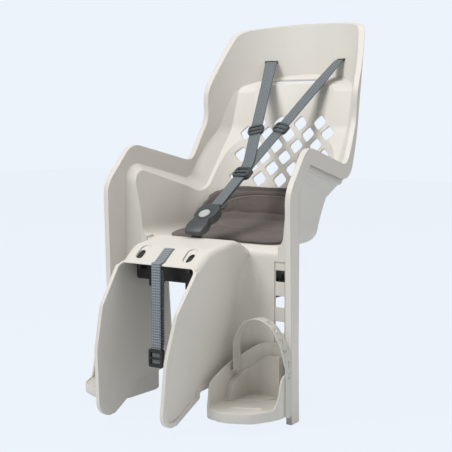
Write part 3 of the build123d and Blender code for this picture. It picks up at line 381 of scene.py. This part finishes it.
def webbing(name, colour, rib, slant, width):
    """Woven strap: raised ribs across it, slanted in two fields, and a colour that darkens towards both edges.
    """
    warp_pitch = 0.0046
    dark_edge_band = 0.0018
    half = width / 2 * MM
    finish = Finish(name, roughness=0.8, sheen_weight=0.1)
    u, v, _ = finish.split(finish.node("UVMap", {"uv_map": "strap"}).outputs[0])
    ribs = finish.sine((v + abs(u) * slant) * (2 * math.pi / rib))
    warp = finish.sine(u * (2 * math.pi / warp_pitch))
    thread = ribs * 0.65 + warp * 0.35
    fluff = finish.noise(finish.place(), scale=700.0, detail=3.0)
    # The colour darkens over a band along both edges of the strap.
    edge = finish.clamp(abs(u), low=half - dark_edge_band, high=half)
    shade = finish.clamp(thread * 0.6 + fluff * 0.6 - edge * 0.4, low=-0.4, high=1.0)
    finish.colour(finish.mix(shade, tone(colour, 0.42), tone(colour, 1.55)))
    finish.rough(0.70 + thread * 0.14)
    finish.relief(thread, distance=0.0006, strength=0.9)
    return finish.material


def strap_rubber():
    """Soft pale rubber with a faint bloom."""
    colour = srgb(206, 203, 196)
    finish = Finish("strap_rubber", roughness=0.5)
    bloom = finish.noise(finish.place(), scale=60.0, detail=4.0, roughness=0.6)
    fine = finish.noise(finish.place(), scale=1600.0)
    finish.colour(finish.mix(bloom, tone(colour, 0.94), tone(colour, 1.04)))
    finish.rough(0.42 + bloom * 0.2)
    finish.relief(fine, distance=0.00008, strength=0.5, normal=finish.rounded(0.0008))
    return finish.material


def plated_steel():
    """Zinc-plated steel with a faint clouding."""
    finish = Finish("plated_steel", metallic=1.0, roughness=0.3)
    cloud = finish.noise(finish.place(), scale=420.0, detail=3.0)
    finish.colour(finish.mix(cloud, tone(srgb(178, 178, 182), 0.85), tone(srgb(196, 196, 198), 1.05)))
    finish.rough(0.24 + cloud * 0.2)
    finish.relief(cloud, distance=0.00005, strength=0.5, normal=finish.rounded(0.0004))
    return finish.material


def sewing_yarn(name, colour):
    """Twisted thread or cord."""
    finish = Finish(name, roughness=0.65)
    twist = finish.noise(finish.place(), scale=2600.0)
    finish.colour(finish.mix(twist, tone(colour, 0.75), tone(colour, 1.2)))
    finish.rough(0.55 + twist * 0.2)
    return finish.material


PAPER = srgb(236, 243, 251)
WARM_SKY = srgb(250, 247, 243)
FINISHES = {
    "shell_plastic": moulded_plastic("shell_plastic", srgb(221, 217, 209), 0.42, edge=0.0022),
    "footrest_plastic": moulded_plastic("footrest_plastic", srgb(213, 209, 201), 0.45, edge=0.0014),
    "dark_plastic": moulded_plastic("dark_plastic", srgb(70, 75, 76), 0.40, edge=0.0012, grain=1.6),
    "button_plastic": moulded_plastic("button_plastic", srgb(186, 190, 189), 0.36, edge=0.0006),
    "block_plastic": moulded_plastic("block_plastic", srgb(38, 36, 35), 0.46, edge=0.0012, grain=1.6),
    "pad_rubber": moulded_plastic("pad_rubber", srgb(44, 44, 45), 0.75, edge=0.0005, grain=2.0),
    "cushion_fabric": cushion_fabric(),
    "harness_webbing": webbing("harness_webbing", srgb(108, 116, 121), 0.0056, slant=0.6, width=WEB_WIDTH),
    "safety_webbing": webbing("safety_webbing", srgb(128, 137, 143), 0.0050, slant=0.0, width=SAFETY_WIDTH),
    "strap_rubber": strap_rubber(),
    "plated_steel": plated_steel(),
}
CUSHION_THREAD = sewing_yarn("cushion_thread", srgb(138, 129, 124))
# The piping yarn is lighter than the cushion cloth: its tone is a painted highlight along the oval seam.
PIPING_WITH_PAINTED_HIGHLIGHT = sewing_yarn("piping_with_painted_highlight", srgb(132, 122, 117))


def link(name, data):
    """New object in the scene."""
    piece = bpy.data.objects.new(name, data)
    scene.collection.objects.link(piece)
    return piece


def piece_of(work, name):
    """New object from a finished bmesh."""
    mesh = bpy.data.meshes.new(name)
    work.to_mesh(mesh)
    work.free()
    return link(name, mesh)


def copy_of(node, name, weld):
    """Copy of a node's mesh as an object of its own, with its doubled points joined."""
    piece = link(name, nodes[node].data.copy())
    work = bmesh.new()
    work.from_mesh(piece.data)
    bmesh.ops.remove_doubles(work, verts=work.verts, dist=weld)
    work.to_mesh(piece.data)
    work.free()
    return piece


def shown_mesh(piece):
    """New mesh of an object as it is shown."""
    return bpy.data.meshes.new_from_object(piece.evaluated_get(bpy.context.evaluated_depsgraph_get()))


def baked(piece):
    """The piece's mesh with its modifiers worked in."""
    mesh = shown_mesh(piece)
    piece.modifiers.clear()
    piece.data = mesh
    return mesh


def mesh_of_curve(data):
    """Mesh of a curve's filled or bevelled form."""
    temp = link(data.name + "_curve", data)
    mesh = shown_mesh(temp)
    bpy.data.objects.remove(temp)
    return mesh


def closed_spline(data, points):
    """Straight-edged closed loop of a curve through points of three coordinates."""
    spline = data.splines.new("POLY")
    spline.points.add(len(points) - 1)
    for knot, point in zip(spline.points, points):
        knot.co = (*point, 1)
    spline.use_cyclic_u = True


def smooth(mesh):
    for polygon in mesh.polygons:
        polygon.use_smooth = True


def settle(piece, body, slot, *replaced):
    """Give a finished piece its place in the frame and the finish of its slot."""
    piece.data.materials.clear()
    piece.data.materials.append(FINISHES[slot])
    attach(piece, body)
    if replaced:
        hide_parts(*replaced)


def rounded_route(points, radii, step=3.0):
    """Points along a route of straight runs with rounded corners."""
    points = [Vector(point) for point in points]
    route = [points[0]]
    for i, radius in enumerate(radii, start=1):
        into = (points[i] - points[i - 1]).normalized()
        away = (points[i + 1] - points[i]).normalized()
        turn = into.angle(away)
        if turn < 1e-3:
            continue
        reach = radius * math.tan(turn / 2)
        inner = (away - into).normalized()
        centre = points[i] + inner * (radius / math.cos(turn / 2))
        start = points[i] - into * reach - centre
        end = points[i] + away * reach - centre
        count = max(3, int(turn * radius / step) + 2)
        for k in range(count + 1):
            route.append(centre + start.slerp(end, k / count) * radius)
    route.append(points[-1])
    return route


def spaced(route, step):
    """The same route in even steps."""
    lengths = [0.0]
    for first, second in zip(route, route[1:]):
        lengths.append(lengths[-1] + (second - first).length)
    count = max(2, round(lengths[-1] / step))
    even = []
    k = 0
    for i in range(count + 1):
        at = lengths[-1] * i / count
        while k < len(route) - 2 and lengths[k + 1] < at:
            k += 1
        share = (at - lengths[k]) / max(1e-9, lengths[k + 1] - lengths[k])
        even.append(route[k].lerp(route[k + 1], share))
    return even


def web_profile(width, thick):
    """Half-round edges and a slightly crowned face, as (across, up) pairs."""
    half = width / 2
    upper = []
    for i in range(WEB_STEPS + 1):
        across = -half + width * i / WEB_STEPS
        edge = max(0.0, (abs(across) - half + thick) / thick)
        crown = 1 - WEB_CROWN * (across / half) ** 2
        upper.append((across, thick / 2 * math.sqrt(max(0.0, 1 - edge**2)) * crown))
    lower = [(across, -up) for across, up in reversed(upper[1:-1])]
    return upper + lower


def ribbon(name, route, acrosses, width):
    """Flat strap along a route, with the strap's own map: across and along, in metres."""
    profile = web_profile(width, WEB_THICK)
    work = bmesh.new()
    layer = work.loops.layers.uv.new("strap")
    rings = []
    marks = []
    travelled = 0.0
    for i, point in enumerate(route):
        ahead = route[min(i + 1, len(route) - 1)] - route[max(i - 1, 0)]
        along = ahead.normalized()
        wide = acrosses[i] - along * acrosses[i].dot(along)
        wide.normalize()
        face = along.cross(wide)
        if i:
            travelled += (point - route[i - 1]).length
        marks.append(travelled)
        rings.append([work.verts.new((point + wide * a + face * h) * MM) for a, h in profile])
    count = len(profile)
    for i in range(len(rings) - 1):
        for k in range(count):
            j = (k + 1) % count
            quad = work.faces.new((rings[i][k], rings[i][j], rings[i + 1][j], rings[i + 1][k]))
            quad.smooth = True
            corners = ((k, i), (j, i), (j, i + 1), (k, i + 1))
            for loop, (c, r) in zip(quad.loops, corners):
                loop[layer].uv = (profile[c][0] * MM, marks[r] * MM)
    work.faces.new(rings[0])
    work.faces.new(list(reversed(rings[-1])))
    bmesh.ops.recalc_face_normals(work, faces=work.faces)
    return piece_of(work, name)


def shoulder_route(side):
    """Stations of one shoulder strap: point and width direction."""
    slot_x, slot_z = SHOULDER_SLOT
    slot_turn = math.asin(slot_x / HEAD_BACK_R)
    slot_y = HEAD_BACK_Y - HEAD_BACK_R + math.sqrt(HEAD_BACK_R**2 - slot_x**2)
    slot = Vector((side * slot_x, slot_y, slot_z))
    out = Vector((side * math.sin(slot_turn), math.cos(slot_turn), 0))
    tangent = Vector((out.y, -out.x, 0))
    mouth = slot - out * SLOT_FRONT
    run = (merge - mouth).normalized()
    reach = (merge - mouth).length
    wide = (WIDE - run * WIDE.dot(run)).normalized()
    lift = run.cross(wide) * -side
    lift_low = drop.cross(WIDE) * -side

    def twisted(at_slot, on_run):
        return (tangent * at_slot + wide * on_run).normalized()

    return [
        (slot + out * SLOT_TAIL, tangent),
        (slot + out * SLOT_LIP, tangent),
        (mouth, twisted(*TWIST_AT_MOUTH)),
        (mouth + run * TWIST_START, twisted(*TWIST_AT_START)),
        (mouth + run * TWIST_END, wide),
        (mouth + run * (reach - MERGE_EASE) + lift * PLY_SHIFT, wide),
        (merge + lift_low * PLY_SHIFT, WIDE),
        (strap_end + lift_low * PLY_END_SHIFT, WIDE),
    ]


def strap_between(name, stations, width):
    """Ribbon through stations, eased where its direction changes."""
    points = [point for point, _ in stations]
    radii = []
    for before, point, after in zip(points, points[1:], points[2:]):
        turn = max(0.02, (point - before).angle(after - point))
        shorter = min((point - before).length, (after - point).length)
        radii.append(STRAP_EASE * shorter / math.tan(turn / 2))

    def apart(k, point):
        """How far a point lies outside the ball around the stretch from station k to the next."""
        first, second = points[k], points[k + 1]
        return (point - (first + second) / 2).length - (second - first).length / 2

    route = spaced(rounded_route(points, radii), STRAP_STEP)
    acrosses = []
    for point in route:
        near = min(range(len(points) - 1), key=lambda k: apart(k, point))
        first, second = points[near], points[near + 1]
        share = max(0.0, min(1.0, (point - first).dot(second - first) / (second - first).length_squared))
        acrosses.append(stations[near][1].lerp(stations[near + 1][1], share))
    return ribbon(name, route, acrosses, width)


def side_strap(name, route, radii, width):
    """Ribbon in the side view, at x = 0."""
    bent = rounded_route(route, radii, 1.0)
    points = spaced([Vector((0, y, z)) for y, z in bent], SIDE_STEP)
    return ribbon(name, points, [WIDE] * len(points), width)


def crotch_route():
    """Out of the buckle's lower end and down through the seat."""
    inside = BUCKLE_CENTRE + drop * CROTCH_IN
    outside = BUCKLE_CENTRE + drop * CROTCH_OUT
    bend = (CROTCH_Y, outside.z - CROTCH_DIP)
    return [inside.yz, outside.yz, bend, (CROTCH_Y, CROTCH_FOOT)]


def skin(work, rings, closed_path, closed_section):
    """Faces over a row of equal sections, in millimetres, with both ends closed."""
    made = [[work.verts.new(spot * MM) for spot in ring] for ring in rings]
    count = len(rings[0])
    for i in range(len(made) if closed_path else len(made) - 1):
        first, second = made[i], made[(i + 1) % len(made)]
        for k in range(count if closed_section else count - 1):
            j = (k + 1) % count
            work.faces.new((first[k], first[j], second[j], second[k]))
    if closed_path:
        work.faces.new([ring[0] for ring in made])
        work.faces.new([ring[-1] for ring in made])
    else:
        work.faces.new(made[0])
        work.faces.new(made[-1])


def buckle_skirt():
    """Flared lower end of the buckle, over the crotch strap."""
    quarters = ((1, 1), (-1, 1), (-1, -1), (1, -1))
    rings = []
    for down, half, thick in SKIRT_STATIONS:
        centre = BUCKLE_CENTRE + drop * down
        ring = []
        for corner, (across, up) in enumerate(quarters):
            for k in range(4):
                turn = (corner + k / 3) * math.pi / 2
                wide = across * (half - SKIRT_CORNER) + SKIRT_CORNER * math.cos(turn)
                high = up * (thick - SKIRT_CORNER) + SKIRT_CORNER * math.sin(turn)
                ring.append(centre + WIDE * wide + face_up * high)
        rings.append(ring)
    work = bmesh.new()
    skin(work, rings, closed_path=False, closed_section=True)
    bmesh.ops.recalc_face_normals(work, faces=work.faces)
    for face in work.faces:
        face.smooth = len(face.verts) == 4
    return piece_of(work, "buckle_skirt")


def pressed_spring():
    """The button's spring, copied as a piece of its own."""
    piece = copy_of("button_spring", "pressed_spring", weld=1e-6)
    settle(piece, "seat", "plated_steel", "button_spring")
    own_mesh(piece)


def heights(route, knots):
    """Height at each point of a route, eased between the heights known at a few places."""

    def nearest(x, y):
        return min(range(len(route)), key=lambda i: (route[i] - Vector((x, y))).length)

    marks = [(nearest(x, y), z) for x, y, z in knots]
    levels = []
    for i in range(len(route)):
        before = max(mark for mark in marks if mark[0] <= i)
        after = min(mark for mark in marks if mark[0] >= i)
        share = (i - before[0]) / max(1, after[0] - before[0])
        levels.append(before[1] + (after[1] - before[1]) * share)
    for _ in range(RIM_EASE_ROUNDS):
        eased = levels[:]
        for i in range(1, len(levels) - 1):
            if abs(levels[i + 1] - levels[i - 1]) < RIM_JUMP:
                eased[i] = (levels[i - 1] + 2 * levels[i] + levels[i + 1]) / 4
        levels = eased
    return levels


def plan_route(corners, step=2.0):
    """Route in plan through corners with their radii."""
    radii = [radius for _, _, radius in corners[1:-1]]
    return spaced(rounded_route([(x, y) for x, y, _ in corners], radii, 1.0), step)


def sides_of(route, closed):
    """Unit direction to the right of a plan route, at each of its points."""
    last = len(route) - 1
    found = []
    for i in range(len(route)):
        before = route[i - 1] if i or closed else route[0]
        after = route[(i + 1) % len(route)] if i < last or closed else route[last]
        ahead = (after - before).normalized()
        found.append(Vector((ahead.y, -ahead.x)))
    return found


def standing(spot, aside, section):
    """Points of an upright section, given as depth to the side and height, at a spot in plan."""
    return [Vector((*(spot + aside * depth), z)) for depth, z in section]


def tray_rings():
    """Sections of the tray's wall: rounded lower edge, rounded rim and a fillet down to the floor."""
    half = TRAY_WALL / 2
    route = plan_route(TRAY_CORNERS)
    rings = []
    for spot, aside, top in zip(route, sides_of(route, True), heights(route, TRAY_TOPS)):
        section = [(depth, TRAY_BOTTOM + up) for depth, up in TRAY_EDGE]
        for k in range(RIM_STEPS + 1):
            turn = math.pi * (1 - k / RIM_STEPS)
            section.append((half + half * math.cos(turn), top - half + half * math.sin(turn)))
        foot = min(TRAY_FLOOR + FILLET_HEIGHT, top - half - RIM_GAP)
        middle, up = FILLET_MIDDLE
        section.append((TRAY_WALL, foot))
        section.append((TRAY_WALL + middle, min(TRAY_FLOOR + up, foot - RIM_GAP)))
        section.append((TRAY_WALL + FILLET_REACH, TRAY_FLOOR))
        rings.append(standing(spot, aside, section))
    return rings


def cup_depth(spot, out):
    """How far the cup's body goes outwards from a spot, to the middle of the tray's wall."""
    depths = [(spot.x - spot.y - CUP_SLANT) / max(1e-3, out.y - out.x)]
    if out.x < -1e-3:
        depths.append((spot.x - CUP_INNER_X) / -out.x)
    if out.y > 1e-3:
        depths.append((CUP_BACK_Y - spot.y) / out.y)
    return min(depths)


def cup_rings():
    """Sections of the heel cup: a step along the tray's wall with a rounded edge."""
    route = plan_route(CUP_CORNERS)
    below = TRAY_FLOOR - FLOOR_SINK
    rings = []
    for spot, aside, top in zip(route, sides_of(route, False), heights(route, CUP_TOPS)):
        depth = cup_depth(spot, -aside)
        section = [(depth, below), (depth, top)]
        section += [(inwards, top - down) for inwards, down in CUP_EDGE]
        section.append((0.0, min(below, top - CUP_LEAST)))
        rings.append(standing(spot, -aside, section))
    return rings


def bead_rings(corners, half, rise):
    """Sections of a low rounded bead on the tray's floor, smaller towards its ends."""
    route = plan_route(corners, BEAD_STEP)
    rings = []
    for i, (spot, aside) in enumerate(zip(route, sides_of(route, False))):
        size = min(1.0, BEAD_END + BEAD_GROWTH * min(i, len(route) - 1 - i))
        turns = [math.pi * k / 6 for k in range(7)]
        section = [(math.cos(t) * half * size, TRAY_FLOOR + math.sin(t) * rise * size) for t in turns]
        section += [(edge * half * size, TRAY_FLOOR - FLOOR_SINK) for edge in (-1, 1)]
        rings.append(standing(spot, aside, section))
    return rings


def footrest_dish(name, side):
    """Tray whose wall fans up to the heel, with a stepped heel cup, a grip rib and a lobe for the strap."""
    work = bmesh.new()
    skin(work, tray_rings(), closed_path=True, closed_section=False)
    skin(work, cup_rings(), closed_path=False, closed_section=True)
    skin(work, bead_rings(GRIP_RIB, *GRIP_RIB_BEAD), closed_path=False, closed_section=True)
    skin(work, bead_rings(CUP_FRONT, *CUP_FRONT_BEAD), closed_path=False, closed_section=True)
    for vert in work.verts:
        vert.co.x *= side
    bmesh.ops.triangulate(work, faces=[face for face in work.faces if len(face.verts) > 4])
    bmesh.ops.recalc_face_normals(work, faces=work.faces)
    for face in work.faces:
        face.smooth = True
    for edge in work.edges:
        edge.smooth = edge.calc_face_angle(0.0) < SHARP_EDGE
    return piece_of(work, name)


def flat_foot_strap(name, length):
    """Mesh of the foot strap laid flat: a belt with a rounded tail and a row of arrow-shaped holes."""
    half = FOOT_STRAP_WIDTH / 2
    data = bpy.data.curves.new(name, "CURVE")
    data.dimensions = "2D"
    data.fill_mode = "BOTH"
    turns = [math.pi * k / 12 for k in range(13)]
    tail = [(length - half + half * math.sin(t), half * math.cos(t), 0) for t in turns]
    closed_spline(data, [(0, half, 0), *tail, (0, -half, 0)])
    arrow = FOOT_HOLE_HALF + [(u, -v) for u, v in reversed(FOOT_HOLE_HALF[:-1])]
    for k in range(FOOT_HOLES):
        at = FOOT_FIRST_HOLE + FOOT_HOLE_PITCH * k
        closed_spline(data, [(at + u, v, 0) for u, v in arrow])
    return mesh_of_curve(data)


def foot_strap(name, side):
    """Rubber belt with holes, bent over the foot."""
    route = spaced(rounded_route(FOOT_ROUTE, FOOT_RADII), 1.0)
    length = sum((b - a).length for a, b in zip(route, route[1:]))
    work = bmesh.new()
    work.from_mesh(flat_foot_strap(name, length))
    for k in range(1, int(length / FOOT_STRAP_CUT)):
        everything = work.verts[:] + work.edges[:] + work.faces[:]
        bmesh.ops.bisect_plane(work, geom=everything, plane_co=(k * FOOT_STRAP_CUT, 0, 0), plane_no=(1, 0, 0))
    bmesh.ops.remove_doubles(work, verts=work.verts, dist=1e-4)
    start_x, start_y = FOOT_STRAP_START
    cos, sin = math.cos(FOOT_STRAP_TURN), math.sin(FOOT_STRAP_TURN)
    step = length / (len(route) - 1)
    for vert in work.verts:
        u, v = vert.co.x, vert.co.y
        k = min(len(route) - 2, max(0, int(u / step)))
        point = route[k].lerp(route[k + 1], u / step - k)
        x = start_x + point.x * cos + v * sin
        y = start_y - point.x * sin + v * cos
        vert.co = Vector((side * x, y, point.y)) * MM
    bmesh.ops.recalc_face_normals(work, faces=work.faces)
    piece = piece_of(work, name)
    solid = piece.modifiers.new("thickness", "SOLIDIFY")
    solid.thickness = FOOT_STRAP_THICK * MM
    solid.offset = 0.0
    return piece


def swell(piece):
    """Blow the pad up a little as cloth, and keep each point close to where it began."""
    start = [vert.co.copy() for vert in piece.data.vertices]
    cloth = piece.modifiers.new("swell", "CLOTH").settings
    cloth.quality = 4
    cloth.use_pressure = True
    cloth.uniform_pressure_force = SWELL_PRESSURE
    cloth.effector_weights.gravity = 0.0
    for frame_number in range(1, SWELL_FRAMES + 1):
        scene.frame_set(frame_number)
    mesh = baked(piece)
    scene.frame_set(1)
    for vert, before in zip(mesh.vertices, start):
        move = vert.co - before
        if move.length > PAD_SWELL * MM:
            vert.co = before + move.normalized() * PAD_SWELL * MM


def fill_corner(mesh):
    """Fill the corner between seat and back, and thin the pad towards its front edge."""
    facings = [max(0.0, vert.normal.dot(PAD_UP)) for vert in mesh.vertices]
    for vert, facing in zip(mesh.vertices, facings):
        _, y, z = vert.co / MM
        apart = (y - PAD_CORNER[0]) ** 2 + (z - PAD_CORNER[1]) ** 2
        fill = CORNER_FILL * math.exp(-apart / CORNER_REACH**2) * facing
        thin = PAD_THIN_SHARE * max(0.0, min(1.0, (PAD_THIN_FROM - y) / PAD_THIN_OVER))
        vert.co += PAD_UP * fill * MM
        vert.co.z -= thin * (z - PAD_FLOOR) * MM
    mesh.update()


def on_pad(y, z):
    """How far along the pad a point lies, from the seat up the back."""
    return (y - PAD_CORNER[0]) + (z - PAD_CORNER[1])


def oval(x, s):
    """1 on the oval seam, less inside it."""
    across = (abs(x) / OVAL_HALF_WIDTH) ** OVAL_POWER
    along = (abs(s - OVAL_AT) / OVAL_HALF_LENGTH) ** OVAL_POWER
    return (across + along) ** (1 / OVAL_POWER)


def sew_panel(mesh):
    """Pull the seams in on the pad's upper face, and crown the oval panel between them."""
    moves = []
    for vert in mesh.vertices:
        x, y, z = vert.co / MM
        facing = max(0.0, vert.normal.dot(PAD_UP))
        ring = oval(x, on_pad(y, z))
        off_seam = (ring - 1) * OVAL_HALF_LENGTH
        panel = OVAL_CROWN * max(0.0, 1 - ring**3)
        groove = SEAM_DEPTH * math.exp(-((off_seam / SEAM_WIDTH) ** 2))
        band = SEAM_DEPTH * math.exp(-(((z - BAND_Z) / SEAM_WIDTH) ** 2))
        moves.append(vert.normal * (panel - groove - band) * min(1.0, 2 * facing) * MM)
    for vert, move in zip(mesh.vertices, moves):
        vert.co += move


def soften(piece, title, rounds):
    """Smooth modifier."""
    modifier = piece.modifiers.new(title, "SMOOTH")
    modifier.factor = 0.5
    modifier.iterations = rounds


def cushion():
    """Padded seat cushion: swollen from its solid, with an oval panel and a seam across the back."""
    piece = copy_of("seat_cushion", "padded_cushion", weld=1e-5)
    remesh = piece.modifiers.new("remesh", "REMESH")
    remesh.mode = "VOXEL"
    remesh.voxel_size = PAD_VOXEL * MM
    soften(piece, "relax", RELAX_ROUNDS)
    shrink = piece.modifiers.new("shrink", "DISPLACE")
    shrink.strength = -PAD_SHRINK * MM
    shrink.mid_level = 0.0
    baked(piece)
    swell(piece)
    soften(piece, "even", EVEN_ROUNDS)
    finer = piece.modifiers.new("finer", "SUBSURF")
    finer.levels = finer.render_levels = 1
    mesh = baked(piece)
    fill_corner(mesh)
    sew_panel(mesh)
    smooth(mesh)
    return piece


def seam_line(piece, places):
    """Points on the pad's upper face for given places: across it and along it."""
    tree = BVHTree.FromObject(piece, bpy.context.evaluated_depsgraph_get())
    line = []
    for x, s in places:
        climb = max(0.0, s) / (1 + PAD_LEAN)
        target = Vector((x, PAD_CORNER[0] + min(0.0, s) + PAD_LEAN * climb, PAD_CORNER[1] + climb))
        eye = Vector((x, *SEAM_EYE))
        spot, normal, _, _ = tree.ray_cast(eye * MM, (target - eye).normalized())
        if spot:
            line.append(spot + normal * SEAM_LIFT * MM)
    return line


def oval_places(grow):
    """Places along the oval seam, or beside it."""
    places = []
    for k in range(OVAL_POINTS):
        turn = 2 * math.pi * k / OVAL_POINTS
        across, along = math.cos(turn), math.sin(turn)
        reach = (abs(across) ** OVAL_POWER + abs(along) ** OVAL_POWER) ** (-1 / OVAL_POWER)
        x = (OVAL_HALF_WIDTH + grow) * across * reach
        places.append((x, OVAL_AT + (OVAL_HALF_LENGTH + grow) * along * reach))
    return places


def band_places(inset):
    """Places along the seam across the back, or below it."""
    along = (BAND_Z - PAD_CORNER[1]) * (1 + PAD_LEAN) - inset
    return [(x, along) for x in range(-BAND_HALF, BAND_HALF + 1, BAND_STEP)]


def stitch_tree():
    """Stitches along a line: one short rounded thread per pitch."""
    tree = bpy.data.node_groups.new("stitch_row", "GeometryNodeTree")
    sockets = tree.interface
    sockets.new_socket("Line", in_out="INPUT", socket_type="NodeSocketGeometry")
    for title, size in (("Pitch", STITCH_PITCH), ("Length", STITCH_LENGTH), ("Thread", STITCH_THREAD)):
        sockets.new_socket(title, in_out="INPUT", socket_type="NodeSocketFloat").default_value = size * MM
    sockets.new_socket("Finish", in_out="INPUT", socket_type="NodeSocketMaterial")
    sockets.new_socket("Stitches", in_out="OUTPUT", socket_type="NodeSocketGeometry")
    add = tree.nodes.new
    given, result = add("NodeGroupInput"), add("NodeGroupOutput")
    curve, points = add("GeometryNodeMeshToCurve"), add("GeometryNodeCurveToPoints")
    thread, place = add("GeometryNodeMeshUVSphere"), add("GeometryNodeInstanceOnPoints")
    size, real = add("ShaderNodeCombineXYZ"), add("GeometryNodeRealizeInstances")
    dye = add("GeometryNodeSetMaterial")
    points.mode = "LENGTH"
    thread.inputs["Segments"].default_value = 8
    thread.inputs["Rings"].default_value = 6
    thread.inputs["Radius"].default_value = 0.5
    for source, target in (
        (given.outputs["Line"], curve.inputs["Mesh"]),
        (curve.outputs["Curve"], points.inputs["Curve"]),
        (given.outputs["Pitch"], points.inputs["Length"]),
        (given.outputs["Thread"], size.inputs["X"]),
        (given.outputs["Thread"], size.inputs["Y"]),
        (given.outputs["Length"], size.inputs["Z"]),
        (points.outputs["Points"], place.inputs["Points"]),
        (points.outputs["Rotation"], place.inputs["Rotation"]),
        (thread.outputs["Mesh"], place.inputs["Instance"]),
        (size.outputs["Vector"], place.inputs["Scale"]),
        (place.outputs["Instances"], real.inputs["Geometry"]),
        (real.outputs["Geometry"], dye.inputs["Geometry"]),
        (given.outputs["Finish"], dye.inputs["Material"]),
        (dye.outputs["Geometry"], result.inputs["Stitches"]),
    ):
        tree.links.new(source, target)
    return tree


def stitches(name, stitch_row, line, closed=False):
    """A sewn row along a line of points on the cushion."""
    mesh = bpy.data.meshes.new(name)
    edges = [(i, i + 1) for i in range(len(line) - 1)]
    if closed:
        edges.append((len(line) - 1, 0))
    mesh.from_pydata(line, edges, [])
    piece = link(name, mesh)
    sewn = piece.modifiers.new("sewn", "NODES")
    sewn.node_group = stitch_row
    for item in stitch_row.interface.items_tree:
        if item.name == "Finish":
            sewn[item.identifier] = CUSHION_THREAD
    smooth(baked(piece))
    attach(piece, "seat")


def piping(name, line):
    """Round cord along a closed seam, meant as the cushion's own cloth; its lighter yarn is a painted
    highlight along the seam.
    """
    data = bpy.data.curves.new(name, "CURVE")
    data.dimensions = "3D"
    data.bevel_depth = PIPING_RADIUS * MM
    data.bevel_resolution = 3
    closed_spline(data, line)
    mesh = mesh_of_curve(data)
    smooth(mesh)
    piece = link(name, mesh)
    settle(piece, "seat", "cushion_fabric")
    # Lighter yarn: a painted highlight along the seam.
    piece.data.materials[0] = PIPING_WITH_PAINTED_HIGHLIGHT


def studio_paper():
    """Pale paper that stays even to the camera and keeps a faint shadow."""
    finish = Finish("studio_paper", roughness=0.9, base_color=(*PAPER, 1), specular_ior_level=0.1)
    glow = finish.node("Emission", Color=(*PAPER, 1), Strength=1.0)
    seen = Wire(finish, finish.node("LightPath").outputs["Is Camera Ray"]) * FLOOR_GLOW
    blend = finish.node("MixShader")
    finish.plug(blend.inputs[0], seen)
    finish.plug(blend.inputs[1], finish.shader.outputs[0])
    finish.plug(blend.inputs[2], glow.outputs[0])
    finish.plug(finish.tree.nodes["Material Output"].inputs[0], blend.outputs[0])
    return finish.material


def studio_sky():
    """Paper white to the camera, and a dimmer, warmer light on the seat."""
    world = bpy.data.worlds.new("studio")
    world.use_nodes = True
    sky = world.node_tree
    background = sky.nodes["Background"]
    seen = sky.nodes.new("ShaderNodeLightPath").outputs["Is Camera Ray"]
    tint = sky.nodes.new("ShaderNodeMix")
    tint.data_type = "RGBA"
    tint.inputs[6].default_value = (*WARM_SKY, 1)
    tint.inputs[7].default_value = (*PAPER, 1)
    strength = sky.nodes.new("ShaderNodeMapRange")
    strength.inputs["To Min"].default_value = SKY_LIGHT
    for source, target in (
        (seen, tint.inputs[0]),
        (tint.outputs[2], background.inputs["Color"]),
        (seen, strength.inputs["Value"]),
        (strength.outputs["Result"], background.inputs["Strength"]),
    ):
        sky.links.new(source, target)
    return world


def softbox(name, place, power):
    """Square area lamp that faces the seat."""
    lamp = bpy.data.lights.new(name, "AREA")
    lamp.size = LAMP_SIZE
    lamp.energy = power
    holder = link(name, lamp)
    holder.location = place
    holder.rotation_euler = (Vector(LAMP_TARGET) - Vector(place)).to_track_quat("-Z", "Y").to_euler()


# Harness, safety strap and buckle
for title, side in SIDES:
    strap = strap_between(f"shoulder_webbing_{title}", shoulder_route(side), WEB_WIDTH)
    settle(strap, "seat", "harness_webbing", f"shoulder_strap_{title}")
crotch = side_strap("crotch_webbing", crotch_route(), CROTCH_RADII, WEB_WIDTH)
settle(crotch, "seat", "harness_webbing", "crotch_strap")
safety = side_strap("safety_webbing", SAFETY_ROUTE, SAFETY_RADII, SAFETY_WIDTH)
settle(safety, "seat", "safety_webbing", "safety_strap")
back_ply = side_strap("safety_back_ply", BACK_PLY_ROUTE, BACK_PLY_RADII, SAFETY_WIDTH)
settle(back_ply, "seat", "safety_webbing")
settle(buckle_skirt(), "seat", "dark_plastic")
pressed_spring()

# Footrests
for title, side in SIDES:
    body = f"footrest_{title}"
    settle(footrest_dish(f"footrest_dish_{title}", side), body, "footrest_plastic", f"footrest_{title}")
    settle(foot_strap(f"foot_belt_{title}", side), body, "strap_rubber", f"foot_strap_{title}")

# Cushion
pad = cushion()
stitch_row = stitch_tree()
piping("oval_piping", seam_line(pad, oval_places(0.0)))
stitches("oval_stitches", stitch_row, seam_line(pad, oval_places(-OVAL_STITCH_INSET)), closed=True)
stitches("band_stitches", stitch_row, seam_line(pad, band_places(BAND_STITCH_INSET)))
settle(pad, "seat", "cushion_fabric", "seat_cushion")

# Finishes of the solids that are shown as they are
for entry in frame["record"]["subparts"]:
    node = nodes[entry["node"]]
    node.data.materials.clear()
    node.data.materials.append(FINISHES[entry["material_slot"]])

# Floor, light and camera
bpy.ops.mesh.primitive_plane_add(size=FLOOR_SIZE, location=(0, 0, cad_box[0][2]))
floor = bpy.context.object
floor.name = "floor"
floor.data.materials.append(studio_paper())
scene.world = studio_sky()
for title, (place, power) in LAMPS.items():
    softbox(title, place, power)
view = bpy.data.cameras.new("photo_view")
view.sensor_width = CAMERA_SENSOR
view.lens = CAMERA_LENS
camera = link("photo_view", view)
columns = (CAMERA_RIGHT, CAMERA_UP, CAMERA_BACK, CAMERA_PLACE)
camera.matrix_world = Matrix([[column[row] for column in columns] for row in range(3)] + [(0, 0, 0, 1)])
scene.camera = camera
scene.view_settings.view_transform = "Standard"
